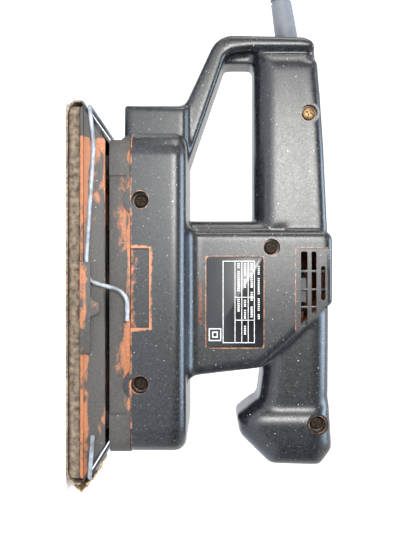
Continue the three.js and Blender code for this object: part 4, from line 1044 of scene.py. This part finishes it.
def wear_values(piece):
    """Where the paint has worn through, from each feature's edge."""
    x, y, z = places_of(piece)
    side = np.abs(y)
    notch_x = np.where(y < 0, x, -x)
    worn = 0.62 * near(from_rectangle(x, z, *LABEL), 0.8) * (side > MOTOR_HALF_WIDTH - 0.6) * (y < 0)
    panel = from_rectangle(x, z, -22, 21, 112.7, 130)
    worn = np.maximum(worn, 0.55 * near(panel, 1.0) * (side > MOTOR_HALF_WIDTH - 0.6))
    notch = from_rectangle(notch_x, z, *NOTCH)
    worn = np.maximum(worn, 0.74 * near(notch, 2.2) * (side > BASE_HALF_WIDTH - 1.2))
    for _, at_x, at_z, face, _ in SCREWS:
        rim = np.hypot(x - at_x, z - at_z) - SEAT_RADIUS
        worn = np.maximum(worn, 0.55 * near(rim, 0.7) * (side > face - 0.6) * (y < 0))
    low = near(z - BASE_BOTTOM, 1.3) * (np.abs(x) < 81) * (side > 30)
    worn = np.maximum(worn, 0.55 * low)
    ends = near(np.abs(x) - BASE_HALF_LENGTH, 2.5) * near(z - BASE_BOTTOM, 5)
    return np.maximum(worn, 0.5 * ends)


def dirt_values(piece):
    """Brown dust in the screw seats."""
    x, y, z = places_of(piece)
    dirt = np.zeros_like(x)
    for _, at_x, at_z, face, _ in SCREWS:
        inside = (np.hypot(x - at_x, z - at_z) < SEAT_RADIUS + 0.3) & (y > -face + 0.5) & (y < -face + 10)
        dirt = np.maximum(dirt, inside * 0.75)
    return dirt


def make_housing():
    """Both halves of the clamshell."""
    sizes = bpy.context.scene.sander_sizes
    finishes = [sprayed_abs(), bare_abs()]
    whole = fused("clamshell", body_shells(), sizes.skin_detail, 4, finishes)
    soften_grips(whole)
    for shell in hollow_shells():
        combine(whole, [shell], "DIFFERENCE", inner=True)
    combine(whole, [block(-76.8, 90, -60, 60, 0, BASE_BOTTOM)], "DIFFERENCE")
    combine(whole, corner_trims(), "DIFFERENCE")
    bosses = []
    for name, x, z, face, _ in SCREWS:
        radius = BOSS_RADIUS if "base" in name else SMALL_BOSS_RADIUS
        bosses.append(rod(x, z, radius, -face + 0.02, face - 0.02))
    combine(whole, bosses, "UNION")
    combine(whole, side_recesses(), "DIFFERENCE")
    combine(whole, through_holes(), "DIFFERENCE")
    for name, y0, y1, node in (
        ("clamshell_right", -80, -0.06, "housing_right"), ("clamshell_left", 0.06, 80, "housing_left"),
    ):
        half = bpy.data.objects.new(name, whole.data.copy())
        bpy.context.scene.collection.objects.link(half)
        combine(half, [block(-300, 300, y0, y1, -20, 300)], "INTERSECT", inner=True)
        paint_values(half, "wear", wear_values(half))
        paint_values(half, "dirt", dirt_values(half))
        creased(half, 32)
        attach(half, "housing")
        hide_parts(node)
    bpy.data.objects.remove(whole)
    ribs = [
        block(x - 0.6, x + 0.6, -MOTOR_HALF_WIDTH + VENT_DEPTH + 0.2, -MOTOR_HALF_WIDTH + 3.2, 114, 128.5)
        for x in VENT_RIBS
    ]
    grille = new_piece("vent_ribs", joined(ribs), [finishes[0]])
    softened(grille, 0.15)
    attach(grille, "housing")


def make_screws():
    """Cross-head screws in their seats."""
    for name, x, z, face, seat in SCREWS:
        # a screw whose seat is 5 mm deep or more takes the dark finish: painted shade of its deep seat, with
        # brown dust
        finish = plain_finish("steel_zinc_yellow" if seat < 5 else "steel_dust_and_painted_shade")
        head_name = name.replace("screw", "cross_head")
        head = new_piece(head_name, turned(SCREW_PROFILE, 40), [finish, finish])
        cross = [block(-1.9, 1.9, -0.45, 0.45, -1, 1.5), block(-0.45, 0.45, -1.9, 1.9, -1, 1.5)]
        combine(head, cross, "DIFFERENCE")
        head.data.transform(
            Matrix.Translation(Vector((x, -face + seat - 2.5, z)) * MM)
            @ Matrix.Rotation(math.radians(20), 4, "Y") @ Matrix.Rotation(-math.pi / 2, 4, "X")
        )
        softened(head, 0.12)
        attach(head, "housing")
        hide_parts(name)


def make_label():
    """Rating plate: black foil, a white ruled table, plain bars for print and a double square."""
    worn_bar = new_piece(
        "raised_bar", block(-5, 16, -MOTOR_HALF_WIDTH - 0.35, -MOTOR_HALF_WIDTH + 1, 63.6, 65.8),
        [plain_finish("abs_moulded_brown")],
    )
    softened(worn_bar, 0.3)
    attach(worn_bar, "housing")
    low, high = (Vector(corner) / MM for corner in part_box("rating_plate"))
    corners = rectangle(low.x, high.x, low.z, high.z, 1.6)
    foil = new_piece("rating_foil", prism(corners, low.y, high.y), [plain_finish("foil_printed_black")])
    softened(foil, 0.15)
    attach(foil, "housing")
    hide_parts("rating_plate")
    face = low.y
    marks = []

    def bar(x0, x1, z0, z1):
        marks.append(block(x0, x1, face - 0.05, face + 0.02, z0, z1))

    def frame_of(x0, x1, z0, z1, line):
        bar(x0, x1, z0, z0 + line)
        bar(x0, x1, z1 - line, z1)
        bar(x0, x0 + line, z0 + line, z1 - line)
        bar(x1 - line, x1, z0 + line, z1 - line)

    frame_of(-15.6, 25.6, 76, 92, 0.32)
    for z in (82, 85.4, 88.6):
        bar(-15.3, 25.3, z, z + 0.28)
    for x in (2.5, 14):
        bar(x, x + 0.28, 82.28, 92)
    for z0, z1, start, words in LABEL_ROWS:
        at = start
        for length, space in words:
            for i in range(int(length / BAR_PITCH)):
                left = at + i * BAR_PITCH
                bar(left, left + BAR_WIDTH, z0 + 0.25, z1 - 0.15)
            at += length + space
    frame_of(18.2, 24.6, 69, 75.2, 0.5)
    frame_of(19.9, 22.9, 70.7, 73.5, 0.5)
    ink = new_piece("rating_print", joined(marks), [plain_finish("ink_printed_white")])
    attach(ink, "housing")


def make_rocker():
    """See-saw switch with a ribbed thumb end."""
    x, z = ROCKER_X, ROCKER_Z
    outline = [
        (x - 8.6, z - 1, 0), (x, z - 3.6, 3), (x + 8.6, z - 1, 0), (x + 8.6, z + 2.4, 0.8),
        (x, z + 1.6, 0), (x - 8.6, z + 4, 0.8),
    ]
    finish = plain_finish("nylon_moulded_black")
    rocker = new_piece("switch_key", prism(outline, -4.8, 4.8, 0.6, 3), [finish, finish])
    ribs = [block(x - 7.6 + 1.6 * i, x - 7 + 1.6 * i, -3.6, 3.6, z + 2.6 - 0.25 * i, z + 8) for i in range(3)]
    combine(rocker, ribs, "DIFFERENCE")
    creased(rocker, 30)
    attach(rocker, "switch_rocker")
    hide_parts("switch_rocker")


def make_skirt():
    """Tray under the base, orange where the spray missed it."""
    finish = half_sprayed_abs(
        "sprayed_abs_skirt",
        [(-80, 0.34), (-59, 0.34), (-56, 0.5), (-38, 0.62), (-24, 0.56), (-19, 0.44), (12, 0.42),
         (18, 0.58), (36, 0.6), (56, 0.52), (60, 0.34), (80, 0.36)],
        [(20, 0.62), (24, 0.74), (27, 0.88), (29.3, 1.08), (31, 1.3)], 5,
    )
    skirt = new_piece("base_tray", copy_of("base_skirt"), [finish])
    softened(skirt, 0.5)
    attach(skirt, "housing")
    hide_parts("base_skirt")


def make_platen():
    """Platen with its catches, orange and black."""
    finish = half_sprayed_abs(
        "sprayed_abs_platen",
        [(-94, 0.25), (-76, 0.25), (-74.5, 0.76), (-62, 0.6), (-30, 0.46), (-16, 0.4), (6, 0.42),
         (29, 0.36), (32, 0.46), (60, 0.5), (76, 0.46), (94, 0.5)],
        [(6, 1.3), (9.6, 1.2), (11.2, 0.8), (17.6, 0.78), (18.5, 1.05)], 5,
    )
    platen = new_piece("platen_skin", copy_of("platen"), [finish])
    softened(platen, 0.35)
    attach(platen, "platen")
    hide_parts("platen")


def make_pad():
    """Foam pad, its edge crumbled."""
    low, high = (Vector(corner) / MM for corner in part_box("backing_pad"))
    edge = 0.2
    corners = rectangle(low.x + edge, high.x - edge, low.y + edge, high.y - edge, 2)
    bm = prism(corners, low.z, high.z, 1.2, 3, upright=False)
    pad = fused("foam_pad", [bm], 0.0011, 1, [plain_finish("eva_foam_worn")])
    for vert in pad.data.vertices:
        place = vert.co
        outer = max(abs(place.x) - 0.088, abs(place.y) - 0.0435, 0) / 0.003
        crumb = noise.noise(place * per_metre(3.5)) * 0.5 - 0.3
        push = min(outer, 1) * crumb * MM
        place.x += push * math.copysign(1, place.x) * (abs(place.x) > 0.088)
        place.y += push * math.copysign(1, place.y) * (abs(place.y) > 0.0435)
    creased(pad, 60)
    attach(pad, "platen")
    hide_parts("backing_pad")


def spaced(profile, step):
    """Points at an even step along a line of corners."""
    points = []
    for a, b in zip(profile, profile[1:]):
        count = max(int((b - a).length / step), 1)
        points += [a.lerp(b, i / count) for i in range(count)]
    return points + [profile[-1]]


def strip(profile, y0, y1, columns):
    """A strip: the profile's line in X and Z carried along Y in columns, as an open bmesh."""
    bm = bmesh.new()
    verts = [bm.verts.new(Vector((p.x, y0, p.y)) * MM) for p in profile]
    edges = [bm.edges.new(pair) for pair in zip(verts, verts[1:])]
    for _ in range(columns):
        grown = bmesh.ops.extrude_edge_only(bm, edges=edges)["geom"]
        moved = [item for item in grown if isinstance(item, bmesh.types.BMVert)]
        edges = [item for item in grown if isinstance(item, bmesh.types.BMEdge)]
        bmesh.ops.translate(bm, verts=moved, vec=Vector((0, (y1 - y0) / columns, 0)) * MM)
    return bm


def make_sheet():
    """Third sheet of abrasive paper, turned up over both toes, with its torn front end and backing."""
    sizes = bpy.context.scene.sander_sizes
    half_run = [Vector(p) for p in SHEET_LINE]
    rear = [Vector((-p.x, p.y)) for p in reversed(half_run)]
    profile = spaced(rear + half_run[1:], 2.0)
    bm = strip(profile, -46.1, 46.1, 46)
    for vert in bm.verts:
        place = vert.co / MM
        if place.z > 6.9 and abs(place.y) > 43.6:
            vert.co.y = math.copysign(43.6 - 0.1 * noise.noise(place * 0.9), place.y) * MM
        if place.z > 7.5:
            curl = noise.noise(Vector((place.x * 0.2, place.y * 0.16, 3))) * 0.3
            vert.co.z += (0.1 + curl * 0.3) * MM
        elif place.z < 1 and abs(place.y) > 45:
            vert.co.y += noise.noise(place * 0.6) * 0.35 * MM
    for face in bm.faces:
        face.material_index = 1 if face.calc_center_median().z > 7.3 * MM else 0
    black = plain_finish("paper_sprayed_black")
    sheet = new_piece("abrasive_sheet", bm, [clogged_grit(), black])
    thickened(sheet, sizes.paper_thickness)
    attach(sheet, "platen")
    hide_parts("sanding_sheet")
    backing = torn_backing()
    for name, line, y0, y1, seed, lift in FLAPS:
        shape = spaced([Vector(p) for p in line], 0.6)
        flap_mesh = strip(shape, y0, y1, int((y1 - y0) / 0.8))
        for vert in flap_mesh.verts:
            place = vert.co / MM
            ragged = noise.noise(Vector((place.x * 0.5, place.y * 0.45, seed)))
            fine = noise.noise(Vector((place.x * 1.7, place.y * 1.6, seed + 4)))
            vert.co.z += (ragged * 0.9 + fine * 0.35) * lift * MM
            vert.co.x += min((fine * 0.5 + ragged * 0.5), 0.4) * MM * math.copysign(1, place.x)
            if abs(vert.co.x) > 97.2 * MM:
                vert.co.x = math.copysign(97.2 * MM, vert.co.x)
        flap = new_piece(name, flap_mesh, [black if name == "rear_fold" else backing])
        thickened(flap, FLAP_THICKNESS * MM)
        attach(flap, "platen")


def make_wires():
    """Both sprung wire clamps."""
    sizes = bpy.context.scene.sander_sizes
    finish = plain_finish("steel_wire_galvanised")
    for name, node, body, turn in (
        ("clamp_wire_rear", "rear_clamp_wire", "rear_clamp", 1),
        ("clamp_wire_front", "front_clamp_wire", "front_clamp", -1),
    ):
        line = [(turn * x, turn * y, z) for x, y, z in CLAMP_WIRE]
        wire = bar_along(name, bent(line, 3), sizes.wire_diameter / 2, [finish])
        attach(wire, body)
        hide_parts(node)


def finish_inside():
    """Finishes for the CAD nodes that stay: motor, drive, wiring and legs."""
    for finish, nodes in INSIDE.items():
        for node in nodes:
            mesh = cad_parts[node].data
            mesh.materials.clear()
            mesh.materials.append(plain_finish(finish))


# ---------------------------------------------------------------- operators and panel


class SANDER_OT_stage(bpy.types.Operator):
    """Make the camera, floor and lights"""

    bl_idname = "sander.stage"
    bl_label = "Stage"

    def execute(self, context):
        make_stage()
        return {"FINISHED"}


class SANDER_OT_lead(bpy.types.Operator):
    """Make the mains lead, its guard and its plug"""

    bl_idname = "sander.lead"
    bl_label = "Mains lead"

    def execute(self, context):
        make_lead()
        return {"FINISHED"}


class SANDER_OT_housing(bpy.types.Operator):
    """Make both halves of the clamshell"""

    bl_idname = "sander.housing"
    bl_label = "Clamshell"

    def execute(self, context):
        make_housing()
        return {"FINISHED"}


class SANDER_OT_fittings(bpy.types.Operator):
    """Make the screws, the rating plate and the switch key"""

    bl_idname = "sander.fittings"
    bl_label = "Screws, plate and switch"

    def execute(self, context):
        make_screws()
        make_label()
        make_rocker()
        return {"FINISHED"}


class SANDER_OT_platen(bpy.types.Operator):
    """Make the skirt, the platen, the pad and the abrasive sheet"""

    bl_idname = "sander.platen"
    bl_label = "Platen and sheet"

    def execute(self, context):
        make_skirt()
        make_platen()
        make_pad()
        make_sheet()
        return {"FINISHED"}


class SANDER_OT_wires(bpy.types.Operator):
    """Make the two wire clamps"""

    bl_idname = "sander.wires"
    bl_label = "Wire clamps"

    def execute(self, context):
        make_wires()
        return {"FINISHED"}


class SANDER_OT_inside(bpy.types.Operator):
    """Finish the motor, drive and wiring"""

    bl_idname = "sander.inside"
    bl_label = "Inside parts"

    def execute(self, context):
        finish_inside()
        return {"FINISHED"}


STEPS = (
    SANDER_OT_stage, SANDER_OT_lead, SANDER_OT_housing, SANDER_OT_fittings, SANDER_OT_platen,
    SANDER_OT_wires, SANDER_OT_inside,
)


class SANDER_PT_panel(bpy.types.Panel):
    """Lists the sander's pieces in the order they are made"""

    bl_label = "Orbital Sander"
    bl_idname = "SANDER_PT_panel"
    bl_space_type = "VIEW_3D"
    bl_region_type = "UI"
    bl_category = "Sander"

    def draw(self, context):
        for settings in (context.scene.sander_sizes, context.scene.sander_colours):
            for name in settings.__annotations__:
                self.layout.prop(settings, name)
        for step in STEPS:
            self.layout.operator(step.bl_idname)


CLASSES = (SanderSizes, SanderColours, *STEPS, SANDER_PT_panel)


def register():
    for each in CLASSES:
        bpy.utils.register_class(each)
    bpy.types.Scene.sander_sizes = bpy.props.PointerProperty(type=SanderSizes)
    bpy.types.Scene.sander_colours = bpy.props.PointerProperty(type=SanderColours)


def unregister():
    del bpy.types.Scene.sander_colours
    del bpy.types.Scene.sander_sizes
    for each in reversed(CLASSES):
        bpy.utils.unregister_class(each)


def main():
    """Makes every piece in order."""
    register()
    for step in STEPS:
        group, name = step.bl_idname.split(".")
        getattr(getattr(bpy.ops, group), name)()


if __name__ == "__main__":
    main()
